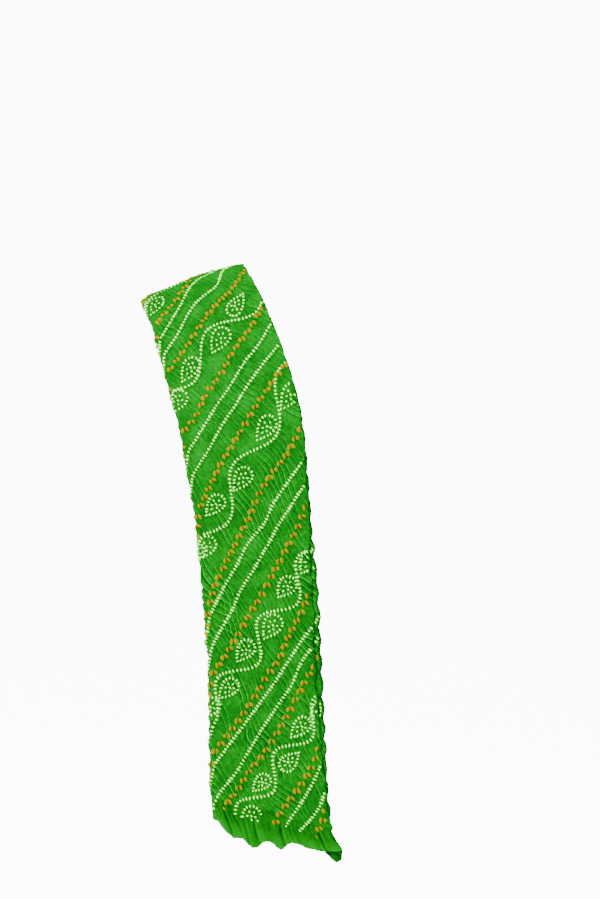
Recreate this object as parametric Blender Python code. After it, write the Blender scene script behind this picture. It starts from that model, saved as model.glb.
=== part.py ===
"""A crinkled tie-dyed stole, folded lengthwise into four layers and laid over one shoulder.

The cloth is one long piece. Folded in half twice it makes a flat band, which goes up the back,
over the shoulder and down the front. The band is described by how far a place is along it
(zero on the shoulder, positive down the front, negative down the back), how far it is across it
(negative towards the arm, positive towards the neck) and how high it is above the band's middle.
The outer cloth is a thin wall folded round the arm side. Its outer points are raised into the
crinkle's larger ridges and its inside is plain. The two layers inside the fold share one solid.
Sizes are in millimetres and turn into metres where the points are made.
"""
import math

import bmesh
import bpy
import numpy as np

MM = 0.001

# The cloth and its layers.
WALL = 1.2                # one layer of crinkled cloth
BAND_THICKNESS = 6.4      # four layers lying together
GAP = 0.3                 # between pieces that touch
FOLD_RADIUS = BAND_THICKNESS / 2
LAYER_GAP = 0.42           # between the outer cloth and the layers in its fold
HIDDEN_THICKNESS = BAND_THICKNESS - 2 * WALL - 2 * LAYER_GAP

# How steeply the band falls, in degrees below level, along it from the shoulder.
SLOPES = [
    {"along": 0, "front": 0, "back": 0},
    {"along": 25, "front": 21, "back": 22},
    {"along": 60, "front": 49, "back": 48},
    {"along": 100, "front": 64, "back": 66},
    {"along": 160, "front": 75, "back": 79},
    {"along": 240, "front": 84, "back": 88},
    {"along": 330, "front": 90, "back": 92},
    {"along": 450, "front": 91, "back": 91},
    {"along": 580, "front": 90, "back": 90},
    {"along": 800, "front": 90, "back": 90},
]

# The band seen from the front, by its drop below the shoulder. "lean" is the rise towards the
# neck of a line across it, "turn" how far it faces towards the arm, both in degrees, and "peek"
# how far the under layers reach beyond the outer one on the neck side. "crown" is how far the
# band's edges lie below its middle.
SECTIONS = [
    {"drop": 0, "centre": 0, "half_width": 66.5, "lean": 19.4, "turn": 0.0, "crown": 5.0, "peek": 0.0},
    {"drop": 32, "centre": 16, "half_width": 68.5, "lean": 17.8, "turn": 2.0, "crown": 4.5, "peek": 0.0},
    {"drop": 73, "centre": 31, "half_width": 71.5, "lean": 16.2, "turn": 4.0, "crown": 3.5, "peek": 0.0},
    {"drop": 118, "centre": 46, "half_width": 73.5, "lean": 13.8, "turn": 5.0, "crown": 3.0, "peek": 0.0},
    {"drop": 176, "centre": 61, "half_width": 74.5, "lean": 10.2, "turn": 6.0, "crown": 2.5, "peek": 0.5},
    {"drop": 234, "centre": 70, "half_width": 72.5, "lean": 6.6, "turn": 6.0, "crown": 2.2, "peek": 2.0},
    {"drop": 294, "centre": 77, "half_width": 70.0, "lean": 3.2, "turn": 5.5, "crown": 2.0, "peek": 3.5},
    {"drop": 376, "centre": 85, "half_width": 70.2, "lean": 1.0, "turn": 5.0, "crown": 1.8, "peek": 7.5},
    {"drop": 463, "centre": 91, "half_width": 68.5, "lean": 0.0, "turn": 4.0, "crown": 1.6, "peek": 8.0},
    {"drop": 551, "centre": 94, "half_width": 70.0, "lean": -1.0, "turn": 3.0, "crown": 1.4, "peek": 6.0},
    {"drop": 624, "centre": 97, "half_width": 71.0, "lean": -1.8, "turn": 2.5, "crown": 1.2, "peek": 2.0},
    {"drop": 700, "centre": 105, "half_width": 73.0, "lean": -2.0, "turn": 2.0, "crown": 1.0, "peek": 1.0},
]
BACK_WIDTH = 0.97         # the back fall's width, as a share of the front's

# The crinkle: ridges that run down towards the neck side.
RIDGE_SPACING = 13.5
RIDGE_UNEVENNESS = 2.6
RIDGE_HEIGHT = 1.9
RIDGE_SLANT = 0.62        # drop for each millimetre towards the neck, on the falls
RIDGE_SWELL_LENGTH = 132.0  # a ridge rises and sinks over this length across the band
CREST_SHIFT = 0.14        # how far a crest strays from the middle of its ridge, as a share
SLANT_FULL_AT = 210.0     # how far along the ridges reach that slant
PRESSED_WITHIN = 95.0     # the leaf that lies on the shoulder is flat this far each way

# Where the stretches and the plain end borders begin, along the band's middle.
FRONT_BORDER = 692.0
BACK_BORDER = -670.0
SHOULDER_HALF = 95.0
BORDER_SLANT = 0.23
BORDER_FADE = 170.0       # the ridges swing to the border's slant over this length

# Scallops on the neck side, where the tied rows pull the edge in.
SCALLOP_LENGTH = 26.0
SCALLOP_DEPTH = 1.6

# The neck-side edges of the two hidden layers, inside the outer cloth's edges.
HIDDEN_FRONT_INSET = 1.6
HIDDEN_BACK_INSET = 1.2
HIDDEN_EDGE_BULGE = 0.7
HIDDEN_GROOVE = 1.5
HIDDEN_GROOVE_DROP = 0.15

# The gathered end borders: the hem's depth below the border line, across the band.
FRONT_HEM = [
    {"across": -1.00, "depth": 21.0},
    {"across": -0.88, "depth": 33.0},
    {"across": -0.72, "depth": 42.5},
    {"across": -0.55, "depth": 41.0},
    {"across": -0.42, "depth": 47.5},
    {"across": -0.28, "depth": 39.5},
    {"across": -0.14, "depth": 34.5},
    {"across": 0.00, "depth": 40.0},
    {"across": 0.12, "depth": 34.0},
    {"across": 0.24, "depth": 28.5},
    {"across": 0.45, "depth": 32.0},
    {"across": 0.73, "depth": 29.5},
    {"across": 0.88, "depth": 27.0},
    {"across": 1.00, "depth": 23.0},
]
UNDER_HEM = [
    {"across": -1.00, "depth": 15.0},
    {"across": -0.72, "depth": 34.0},
    {"across": -0.40, "depth": 38.0},
    {"across": 0.24, "depth": 23.0},
    {"across": 0.62, "depth": 26.0},
    {"across": 0.78, "depth": 37.0},
    {"across": 0.88, "depth": 41.5},
    {"across": 0.95, "depth": 32.0},
    {"across": 1.00, "depth": 21.0},
]
FRILL_WAVES = 7
FRILL_SWELL = 5.0         # how far the frill's waves stand out at the hem
FRILL_SWING_ARM = 2.0     # how far the hem's arm end lies towards the neck of its border line
FRILL_SWING_NECK = 9.0    # the same at the neck end in front, where the corner is pulled out
BACK_SWING_NECK = 0.0     # the same at the neck end of the back
FRILL_FLARE = 1.3         # the waves grow with this power of the way down
FRILL_LEAST_STAND = 0.24  # the shallowest place between two waves, as a share of the swell
UNDER_FRILL_SWAY = 0.9
UNDER_FRILL_INSET = 1.0   # the hidden layers' frill ends this far short of the fold's middle
FRONT_WAVE_PHASE = 0.4
BACK_WAVE_PHASE = 2.6
FRILL_ROWS = 4
FRILL_COLUMNS = 24

LEAF_COLUMNS = 6
FOLD_STEPS = 3

GREEN = (0.011, 0.342, 0.010, 1.0)
GREEN_INNER = (0.006, 0.235, 0.006, 1.0)
GREEN_BORDER = (0.018, 0.402, 0.017, 1.0)
CLOTH_ROUGHNESS = 0.72


def smooth_curve(rows, place, column):
    """A function that reads one column of a table at any place, smoothly through its rows."""
    xs = np.array([row[place] for row in rows], dtype=float)
    ys = np.array([row[column] for row in rows], dtype=float)
    slopes = np.gradient(ys, xs)

    def value(at):
        at = min(max(at, xs[0]), xs[-1])
        i = int(min(np.searchsorted(xs, at, side="right") - 1, len(xs) - 2))
        span = xs[i + 1] - xs[i]
        t = (at - xs[i]) / span
        return (ys[i] * (1 + 2 * t) * (1 - t) ** 2
                + ys[i + 1] * t * t * (3 - 2 * t)
                + span * slopes[i] * t * (1 - t) ** 2
                + span * slopes[i + 1] * t * t * (t - 1))

    return value


def ease(t):
    """0 to 1 with a soft start and end."""
    t = min(max(t, 0.0), 1.0)
    return t * t * (3 - 2 * t)


def side_path(column, length, step=2.0):
    """How far out and how far down the band is, at even steps along it."""
    slope = smooth_curve(SLOPES, "along", column)
    out = [0.0]
    down = [0.0]
    for i in range(int(length / step)):
        angle = math.radians(slope((i + 0.5) * step))
        out.append(out[-1] + step * math.cos(angle))
        down.append(down[-1] + step * math.sin(angle))
    places = np.arange(len(out)) * step
    return places, np.array(out), np.array(down)


LONGEST = SLOPES[-1]["along"]
FRONT_SIDE = side_path("front", LONGEST)
BACK_SIDE = side_path("back", LONGEST)
centre_at = smooth_curve(SECTIONS, "drop", "centre")
half_width_at = smooth_curve(SECTIONS, "drop", "half_width")
lean_at = smooth_curve(SECTIONS, "drop", "lean")
turn_at = smooth_curve(SECTIONS, "drop", "turn")
crown_at = smooth_curve(SECTIONS, "drop", "crown")
peek_at = smooth_curve(SECTIONS, "drop", "peek")


def drop_at(along):
    """How far below the shoulder the band's middle line is."""
    places, _, down = FRONT_SIDE if along >= 0 else BACK_SIDE
    return float(np.interp(abs(along), places, down))


def middle(along):
    """A point on the band's middle line. Its underside on the shoulder is the origin."""
    places, out, down = FRONT_SIDE if along >= 0 else BACK_SIDE
    forward = float(np.interp(abs(along), places, out))
    drop = float(np.interp(abs(along), places, down))
    side = -1.0 if along >= 0 else 1.0
    return np.array([centre_at(drop), side * forward, FOLD_RADIUS - drop])


def band_axes(along):
    """The directions across the band, towards the neck, and out of it."""
    drop = drop_at(along)
    lean = math.radians(lean_at(drop))
    turn = math.radians(turn_at(drop)) * (-1.0 if along >= 0 else 1.0)
    across = np.array([math.cos(lean) * math.cos(turn), math.sin(turn), math.sin(lean)])
    onward = middle(along + 1.0) - middle(along - 1.0)
    outward = np.cross(onward, across)
    return across, outward / np.linalg.norm(outward)


def place(along, across, height):
    """The point at these distances along, across and above the band, in metres."""
    to_neck, outward = band_axes(along)
    height -= crown_at(drop_at(along)) * (across / half_width(along)) ** 2
    return (middle(along) + across * to_neck + height * outward) * MM


def half_width(along):
    width = half_width_at(drop_at(along))
    return width if along >= 0 else width * BACK_WIDTH


def peek(along):
    return peek_at(drop_at(along)) if along >= 0 else 0.0


def scallop(along):
    """How far the neck-side edge is pulled in between its lobes."""
    return SCALLOP_DEPTH * (0.5 + 0.5 * math.cos(2 * math.pi * along / SCALLOP_LENGTH))


def slant_at(row):
    """The slant of the line across the band at this row."""
    slant = RIDGE_SLANT * ease(abs(row) / SLANT_FULL_AT)
    to_border = min(FRONT_BORDER - row, row - BACK_BORDER)
    return BORDER_SLANT + (slant - BORDER_SLANT) * ease(to_border / BORDER_FADE)


def along_at(row, across):
    return row + slant_at(row) * across


# ---------------------------------------------------------------- cross-sections


def folded_section(along):
    """The outer cloth's section: down the front leaf, round the fold, and back.

    Each entry is how far across and how high a point of the wall's outer face is, and the
    direction out of the wall there.
    """
    half = half_width(along)
    radius = FOLD_RADIUS
    front_edge = half - peek(along) - 0.5 * scallop(along)
    back_edge = half - scallop(along)
    centre = -half + radius
    section = []
    for i in range(LEAF_COLUMNS + 1):
        t = i / LEAF_COLUMNS
        section.append((front_edge + (centre - front_edge) * t, radius, 0.0, 1.0))
    for i in range(1, FOLD_STEPS):
        angle = math.pi / 2 + math.pi * i / FOLD_STEPS
        section.append((centre + radius * math.cos(angle), radius * math.sin(angle),
                        math.cos(angle), math.sin(angle)))
    for i in range(LEAF_COLUMNS + 1):
        t = i / LEAF_COLUMNS
        section.append((centre + (back_edge - centre) * t, -radius, 0.0, -1.0))
    return section


def hidden_section(along):
    """The two hidden layers' section, closed: a fold on the arm side, two edges on the other."""
    half = half_width(along)
    thick = HIDDEN_THICKNESS
    front_edge = half - peek(along) - 0.5 * scallop(along) - HIDDEN_FRONT_INSET
    back_edge = half - scallop(along) - HIDDEN_BACK_INSET
    centre = -half + FOLD_RADIUS
    section = []
    for i in range(LEAF_COLUMNS + 1):
        t = i / LEAF_COLUMNS
        section.append((front_edge + (centre - front_edge) * t, thick / 2))
    for i in range(1, FOLD_STEPS):
        angle = math.pi / 2 + math.pi * i / FOLD_STEPS
        section.append((centre + thick / 2 * math.cos(angle), thick / 2 * math.sin(angle)))
    for i in range(LEAF_COLUMNS + 1):
        t = i / LEAF_COLUMNS
        section.append((centre + (back_edge - centre) * t, -thick / 2))
    section.append((back_edge + HIDDEN_EDGE_BULGE, -thick / 4))
    section.append((back_edge, -HIDDEN_GROOVE_DROP))
    section.append((front_edge - HIDDEN_GROOVE, 0.0))
    section.append((front_edge + HIDDEN_EDGE_BULGE, thick / 4))
    return section


# ---------------------------------------------------------------- mesh making


def add_grid(mesh, rows):
    """Adds rows of points and the faces between them, and returns the rows of vertices."""
    lines = [[mesh.verts.new(point) for point in row] for row in rows]
    for upper, lower in zip(lines, lines[1:]):
        for i in range(len(upper) - 1):
            mesh.faces.new((upper[i], upper[i + 1], lower[i + 1], lower[i]))
    return lines


def join_lines(mesh, first, second, first_at, second_at):
    """Fills the strip between two lines of vertices, matching them by how far along each is."""
    i = 0
    j = 0
    while i < len(first) - 1 or j < len(second) - 1:
        next_first = first_at[i + 1] if i < len(first) - 1 else math.inf
        next_second = second_at[j + 1] if j < len(second) - 1 else math.inf
        if next_first == next_second:
            mesh.faces.new((first[i], first[i + 1], second[j + 1], second[j]))
            i += 1
            j += 1
        elif next_first < next_second:
            mesh.faces.new((first[i], first[i + 1], second[j]))
            i += 1
        else:
            mesh.faces.new((first[i], second[j + 1], second[j]))
            j += 1


def cloth_material(name, colour):
    material = bpy.data.materials.new(name)
    material.use_nodes = True
    shader = material.node_tree.nodes["Principled BSDF"]
    shader.inputs["Base Color"].default_value = colour
    shader.inputs["Roughness"].default_value = CLOTH_ROUGHNESS
    shader.inputs["Metallic"].default_value = 0.0
    material.diffuse_color = colour
    return material


def finish(name, mesh, material):
    """Turns a bmesh into one named, smooth-shaded object with its faces pointing out."""
    bmesh.ops.triangulate(mesh, faces=mesh.faces[:], quad_method="FIXED")
    bmesh.ops.recalc_face_normals(mesh, faces=mesh.faces[:])
    data = bpy.data.meshes.new(name)
    mesh.to_mesh(data)
    mesh.free()
    data.shade_smooth()
    data.set_sharp_from_angle(angle=math.radians(55))
    data.materials.append(material)
    piece = bpy.data.objects.new(name, data)
    bpy.context.scene.collection.objects.link(piece)
    return piece


def closed_wall(name, outer_rows, inner_rows, outer_at, inner_at, material):
    """A wall between an outer and an inner face, whose rows may differ in number."""
    mesh = bmesh.new()
    outer = add_grid(mesh, outer_rows)
    inner = add_grid(mesh, inner_rows)
    columns = range(len(outer[0]))
    for end in (0, -1):
        join_lines(mesh, outer[end], inner[end], columns, columns)
        join_lines(mesh, [line[end] for line in outer], [line[end] for line in inner],
                   outer_at, inner_at)
    return finish(name, mesh, material)


def closed_loft(name, rings, material):
    """A solid through closed rings of equally many points."""
    mesh = bmesh.new()
    lines = [[mesh.verts.new(point) for point in ring] for ring in rings]
    for upper, lower in zip(lines, lines[1:]):
        for i in range(len(upper)):
            j = (i + 1) % len(upper)
            mesh.faces.new((upper[i], upper[j], lower[j], lower[i]))
    for ends in (lines[0], lines[-1]):
        mesh.faces.new(ends)
    return finish(name, mesh, material)


# ---------------------------------------------------------------- the crinkle's ridges


def crinkle_rows():
    """Rows along the whole band: troughs and crests in turn, unevenly spaced."""
    rows = []
    row = BACK_BORDER
    ridge = 0
    while row < FRONT_BORDER - 1.5 * RIDGE_SPACING:
        length = RIDGE_SPACING + RIDGE_UNEVENNESS * math.sin(2.4 * ridge + 0.7)
        crest = 0.5 + CREST_SHIFT * math.sin(1.7 * ridge)
        rows.append({"row": row, "ridge": ridge, "lift": 0.0})
        rows.append({"row": row + crest * length, "ridge": ridge, "lift": 1.0})
        row += length
        ridge += 1
    rows.append({"row": row, "ridge": ridge, "lift": 0.0})
    rows.append({"row": (row + FRONT_BORDER) / 2, "ridge": ridge, "lift": 1.0})
    rows.append({"row": FRONT_BORDER, "ridge": ridge, "lift": 0.0})
    return rows


def ridge_height(ridge, along, across, front_leaf):
    """How far a ridge's crest stands out here. Ridges come and go across the band."""
    turn = 2 * math.pi * across / RIDGE_SWELL_LENGTH
    swell = 0.62 + 0.38 * math.sin(turn + 1.9 * ridge)
    height = RIDGE_HEIGHT * swell * (0.8 + 0.2 * math.sin(3.1 * ridge))
    if not front_leaf:
        height *= ease((abs(along) - PRESSED_WITHIN) / PRESSED_WITHIN)
    return height


def settle(row, section, index):
    """How far along the band a point of a slanted row is, and its entry in the section there."""
    along = row
    for _ in range(2):
        entry = section(along)[index]
        along = along_at(row, entry[0])
    return along, entry


def section_points(row, shrink, raised):
    """Points round the folded section at a row. "shrink" goes into the wall, "raised" out."""
    points = []
    for i in range(len(folded_section(row["row"]))):
        along, entry = settle(row["row"], folded_section, i)
        across, height, out_across, out_up = entry
        lift = 0.0
        if raised:
            lift = row["lift"] * ridge_height(row["ridge"], along, across, out_up > -0.5)
        shift = lift - shrink
        points.append(place(along, across + out_across * shift, height + out_up * shift))
    return points


def hidden_points(row):
    """Points round the hidden layers' section at a row."""
    points = []
    for i in range(len(hidden_section(row["row"]))):
        along, entry = settle(row["row"], hidden_section, i)
        points.append(place(along, entry[0], entry[1]))
    return points


def trimmed(rows, start_gap, end_gap):
    """The rows, with the first and last moved in to leave the seams' gaps."""
    rows = [dict(row) for row in rows]
    rows[0]["row"] += start_gap
    rows[-1]["row"] -= end_gap
    return rows


def plain_rows(rows):
    """The troughs that the wall's plain inside runs through: fewer where the band is straight."""
    troughs = [row for row in rows if row["lift"] == 0.0]
    kept = [row for i, row in enumerate(troughs[:-1])
            if abs(row["row"]) < SLANT_FULL_AT or i % 2 == 0]
    return kept + [troughs[-1]]


def add_stretch(name, rows, outer_material, hidden_material):
    """One stretch of the band: its outer cloth, and the layers hidden in its fold."""
    rows = trimmed(rows, GAP / 2, GAP / 2)
    inside = plain_rows(rows)
    closed_wall(name + "_outer",
                [section_points(row, 0.0, True) for row in rows],
                [section_points(row, WALL, False) for row in inside],
                [row["row"] for row in rows], [row["row"] for row in inside],
                outer_material)
    closed_loft(name + "_hidden_layers",
                [hidden_points(row) for row in inside],
                hidden_material)


# ---------------------------------------------------------------- the gathered end borders


def frill_stand(share, t, phase):
    """How far a leaf of the frill stands out here, in waves of uneven length."""
    bent = share + 0.035 * math.sin(5.3 * share + phase)
    wave = 0.5 + 0.5 * math.sin(math.pi * FRILL_WAVES * bent + phase)
    stand = FRILL_LEAST_STAND + (1 - FRILL_LEAST_STAND) * wave
    return FRILL_SWELL * t ** FRILL_FLARE * stand


def frill_point(end, depth, share, t, height):
    """A point of a frill: "share" across from -1 to 1, "t" from the border line to the hem."""
    half = half_width(end["border"])
    swing = FRILL_SWING_ARM + (end["swing_neck"] - FRILL_SWING_ARM) * (share + 1) / 2
    along = end["border"] + BORDER_SLANT * share * half + end["direction"] * depth * t
    return place(along, share * half + swing * t * t, height)


def frill_outer(name, end, hem, material):
    """The outer cloth's border: front leaf, fold and back leaf, waving more towards the hem."""
    depth_at = smooth_curve(hem, "across", "depth")
    half = half_width(end["border"])
    fold_at = -1 + FOLD_RADIUS / half
    shares = [1 - (1 - fold_at) * i / FRILL_COLUMNS for i in range(FRILL_COLUMNS + 1)]
    turns = [math.pi / 2 + math.pi * i / FOLD_STEPS for i in range(1, FOLD_STEPS)]
    steps = [k / FRILL_ROWS for k in range(FRILL_ROWS + 1)]

    def face_row(t, radius):
        line = []
        for share in shares:
            height = radius + frill_stand(share, t, FRONT_WAVE_PHASE)
            line.append(frill_point(end, depth_at(share), share, t, height))
        for angle in turns:
            round_it = radius + FRILL_SWELL * t ** FRILL_FLARE / 2
            share = fold_at + round_it * math.cos(angle) / half
            height = round_it * math.sin(angle)
            line.append(frill_point(end, depth_at(share), share, t, height))
        for share in reversed(shares):
            height = -radius - frill_stand(share, t, BACK_WAVE_PHASE)
            line.append(frill_point(end, depth_at(share), share, t, height))
        return line

    return closed_wall(name,
                       [face_row(t, FOLD_RADIUS) for t in steps],
                       [face_row(t, FOLD_RADIUS - WALL) for t in steps],
                       steps, steps, material)


def frill_under(name, end, hem, material):
    """The hidden layers' border, one wall between the outer frill's two leaves."""
    depth_at = smooth_curve(hem, "across", "depth")
    arm_end = -1 + (FOLD_RADIUS + UNDER_FRILL_INSET) / half_width(end["border"])
    shares = [1 - (1 - arm_end) * i / FRILL_COLUMNS for i in range(FRILL_COLUMNS + 1)]
    steps = [k / FRILL_ROWS for k in range(FRILL_ROWS + 1)]

    def face_row(t, height):
        line = []
        for share in shares:
            sway = UNDER_FRILL_SWAY * t * math.sin(math.pi * FRILL_WAVES * share)
            line.append(frill_point(end, depth_at(share), share, t, height + sway))
        return line

    return closed_wall(name,
                       [face_row(t, HIDDEN_THICKNESS / 2) for t in steps],
                       [face_row(t, -HIDDEN_THICKNESS / 2) for t in steps],
                       steps, steps, material)


# ---------------------------------------------------------------- the garment

for old in list(bpy.data.objects):
    bpy.data.objects.remove(old, do_unlink=True)

outer_cloth = cloth_material("outer_cloth", GREEN)
hidden_cloth = cloth_material("hidden_cloth", GREEN_INNER)
border_cloth = cloth_material("border_cloth", GREEN_BORDER)

all_rows = crinkle_rows()
troughs = [i for i, row in enumerate(all_rows) if row["lift"] == 0.0]
back_seam = min(troughs, key=lambda i: abs(all_rows[i]["row"] + SHOULDER_HALF))
front_seam = min(troughs, key=lambda i: abs(all_rows[i]["row"] - SHOULDER_HALF))

add_stretch("back_fall", all_rows[:back_seam + 1], outer_cloth, hidden_cloth)
add_stretch("shoulder", all_rows[back_seam:front_seam + 1], outer_cloth, hidden_cloth)
add_stretch("front_fall", all_rows[front_seam:], outer_cloth, hidden_cloth)

front_end = {"border": FRONT_BORDER + GAP / 2, "direction": 1.0, "swing_neck": FRILL_SWING_NECK}
back_end = {"border": BACK_BORDER - GAP / 2, "direction": -1.0, "swing_neck": BACK_SWING_NECK}
frill_outer("front_frill_outer", front_end, FRONT_HEM, border_cloth)
frill_under("front_frill_under", front_end, UNDER_HEM, hidden_cloth)
frill_outer("back_frill_outer", back_end, FRONT_HEM, border_cloth)
frill_under("back_frill_under", back_end, UNDER_HEM, hidden_cloth)
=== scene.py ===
"""A crinkled, tie-dyed dupatta, folded lengthwise into four layers and laid over one shoulder.

The folded cloth makes a band. A place on the band is told by how far it is along the band (zero
on the shoulder, positive down the front, negative down the back) and, round the cloth, by its
reach from the fold on the arm side (positive on the front leaf, negative on the rear leaf).
Both are in millimetres, and turn into metres where points are made.
"""
import math

import bpy
import numpy as np
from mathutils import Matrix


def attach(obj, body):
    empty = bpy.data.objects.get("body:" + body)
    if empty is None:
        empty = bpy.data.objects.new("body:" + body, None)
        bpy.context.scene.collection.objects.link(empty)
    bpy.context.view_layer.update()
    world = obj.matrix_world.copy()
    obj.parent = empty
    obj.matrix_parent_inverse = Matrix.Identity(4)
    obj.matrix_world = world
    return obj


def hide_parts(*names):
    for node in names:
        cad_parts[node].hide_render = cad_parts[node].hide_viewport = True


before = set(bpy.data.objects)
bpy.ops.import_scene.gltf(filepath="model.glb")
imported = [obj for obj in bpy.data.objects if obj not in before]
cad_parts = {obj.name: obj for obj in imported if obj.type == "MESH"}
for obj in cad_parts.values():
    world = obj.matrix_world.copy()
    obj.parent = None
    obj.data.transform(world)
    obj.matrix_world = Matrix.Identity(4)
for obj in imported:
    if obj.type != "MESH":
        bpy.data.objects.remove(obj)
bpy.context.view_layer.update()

# ---------------------------------------------------------------- the studio
# A white floor and a white room with one large soft light, as a clothes shop's studio has.
# The camera stands 4.6 m in front of the stole with a long lens, level, at chest height.

CAMERA_PLACE = (0.1326, -4.6, -0.204)
LENS_MM = 149.7
SENSOR_MM = 36.0
FLOOR_DROP = 1.5          # the floor's depth below the wearer's shoulder
FLOOR_SIZE = 90.0
ROOM_STRENGTH = 1.45
PANEL_BEHIND = 6.0
PANEL_SIZE = (4.2, 3.4)
PANEL_STRENGTH = 9.0
KEY_PLACE = (-2.1, -3.1, 2.6)
KEY_AIM = (0.05, 0.0, -0.3)
KEY_SIZE = 1.3
KEY_WATTS = 620.0


def linear(hex_colour):
    """An sRGB hex colour as linear red, green, blue and alpha."""
    parts = [int(hex_colour[i:i + 2], 16) / 255 for i in (0, 2, 4)]
    return [p / 12.92 if p <= 0.04045 else ((p + 0.055) / 1.055) ** 2.4 for p in parts] + [1.0]


def new_material(name):
    """A material, with its node tree and its Principled shader."""
    material = bpy.data.materials.new(name)
    material.use_nodes = True
    return material, material.node_tree, material.node_tree.nodes["Principled BSDF"]


def add_node(tree, kind, settings=None, links=None):
    """Adds a node. "settings" go to its sockets by name or number, or else to its properties."""
    node = tree.nodes.new(kind)
    for key, value in (settings or {}).items():
        if isinstance(key, int) or key in node.inputs:
            node.inputs[key].default_value = value
        else:
            setattr(node, key, value)
    for key, source in (links or {}).items():
        tree.links.new(source, node.inputs[key])
    return node


camera_data = bpy.data.cameras.new("camera")
camera_data.sensor_fit = "VERTICAL"
camera_data.sensor_height = SENSOR_MM
camera_data.sensor_width = SENSOR_MM
camera_data.lens = LENS_MM
camera = bpy.data.objects.new("camera", camera_data)
camera.location = CAMERA_PLACE
camera.rotation_euler = (math.pi / 2, 0.0, 0.0)
bpy.context.scene.collection.objects.link(camera)
bpy.context.scene.camera = camera

room = bpy.data.worlds.new("white_room")
room.use_nodes = True
room.node_tree.nodes["Background"].inputs["Color"].default_value = (1.0, 1.0, 1.0, 1.0)
room.node_tree.nodes["Background"].inputs["Strength"].default_value = ROOM_STRENGTH
bpy.context.scene.world = room

key_data = bpy.data.lights.new("key", "AREA")
key_data.size = KEY_SIZE
key_data.energy = KEY_WATTS
key = bpy.data.objects.new("key", key_data)
key.location = KEY_PLACE
away = np.array(KEY_PLACE) - np.array(KEY_AIM)
key.rotation_euler = (math.atan2(math.hypot(away[0], away[1]), away[2]), 0.0,
                      math.atan2(away[0], -away[1]))
bpy.context.scene.collection.objects.link(key)

# Matt white paint: it takes the room's white and a faint shadow.
floor_paint, _, floor_shader = new_material("matt_white_paint")
floor_shader.inputs["Base Color"].default_value = linear("f4f4f4")
floor_shader.inputs["Roughness"].default_value = 0.9
# A white panel lit from within stands behind, as studios use for a clean edge.
light_panel, _, panel_shader = new_material("lit_white_panel")
panel_shader.inputs["Base Color"].default_value = linear("f4f4f4")
panel_shader.inputs["Emission Color"].default_value = (1.0, 1.0, 1.0, 1.0)
panel_shader.inputs["Emission Strength"].default_value = PANEL_STRENGTH


def stage_plane(name, corners, material):
    """A four-cornered plane that belongs to the studio."""
    data = bpy.data.meshes.new(name)
    data.from_pydata(corners, [], [(0, 1, 2, 3)])
    data.materials.append(material)
    plane = bpy.data.objects.new(name, data)
    bpy.context.scene.collection.objects.link(plane)


wide = FLOOR_SIZE / 2
stage_plane("floor", [(-wide, -wide, -FLOOR_DROP), (wide, -wide, -FLOOR_DROP),
                      (wide, wide, -FLOOR_DROP), (-wide, wide, -FLOOR_DROP)], floor_paint)
wide = PANEL_SIZE[0] / 2
high = PANEL_SIZE[1] - FLOOR_DROP
stage_plane("backdrop", [(-wide, PANEL_BEHIND, -FLOOR_DROP), (wide, PANEL_BEHIND, -FLOOR_DROP),
                         (wide, PANEL_BEHIND, high), (-wide, PANEL_BEHIND, high)], light_panel)

# ---------------------------------------------------------------- the way the band lies
# The band bends over the shoulder and hangs down the chest and the back of its wearer.
# Four layers of crinkled cotton lie together in it, the outer one folded round the arm side.

MM = 0.001
BAND_THICKNESS = 6.4
FOLD_RADIUS = BAND_THICKNESS / 2
FOLD_REACH = FOLD_RADIUS * math.pi / 2   # the cloth from the fold's middle to where it is flat
BACK_WIDTH = 0.97
PATH_STEP = 2.0
PATH_END = 800.0

# Degrees below level, along the band from the shoulder.
SLOPES = [
    {"along": 0, "front": 0, "back": 0},
    {"along": 25, "front": 21, "back": 22},
    {"along": 60, "front": 49, "back": 48},
    {"along": 100, "front": 64, "back": 66},
    {"along": 160, "front": 75, "back": 79},
    {"along": 240, "front": 84, "back": 88},
    {"along": 330, "front": 90, "back": 92},
    {"along": 450, "front": 91, "back": 91},
    {"along": 580, "front": 90, "back": 90},
    {"along": 800, "front": 90, "back": 90},
]

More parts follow.
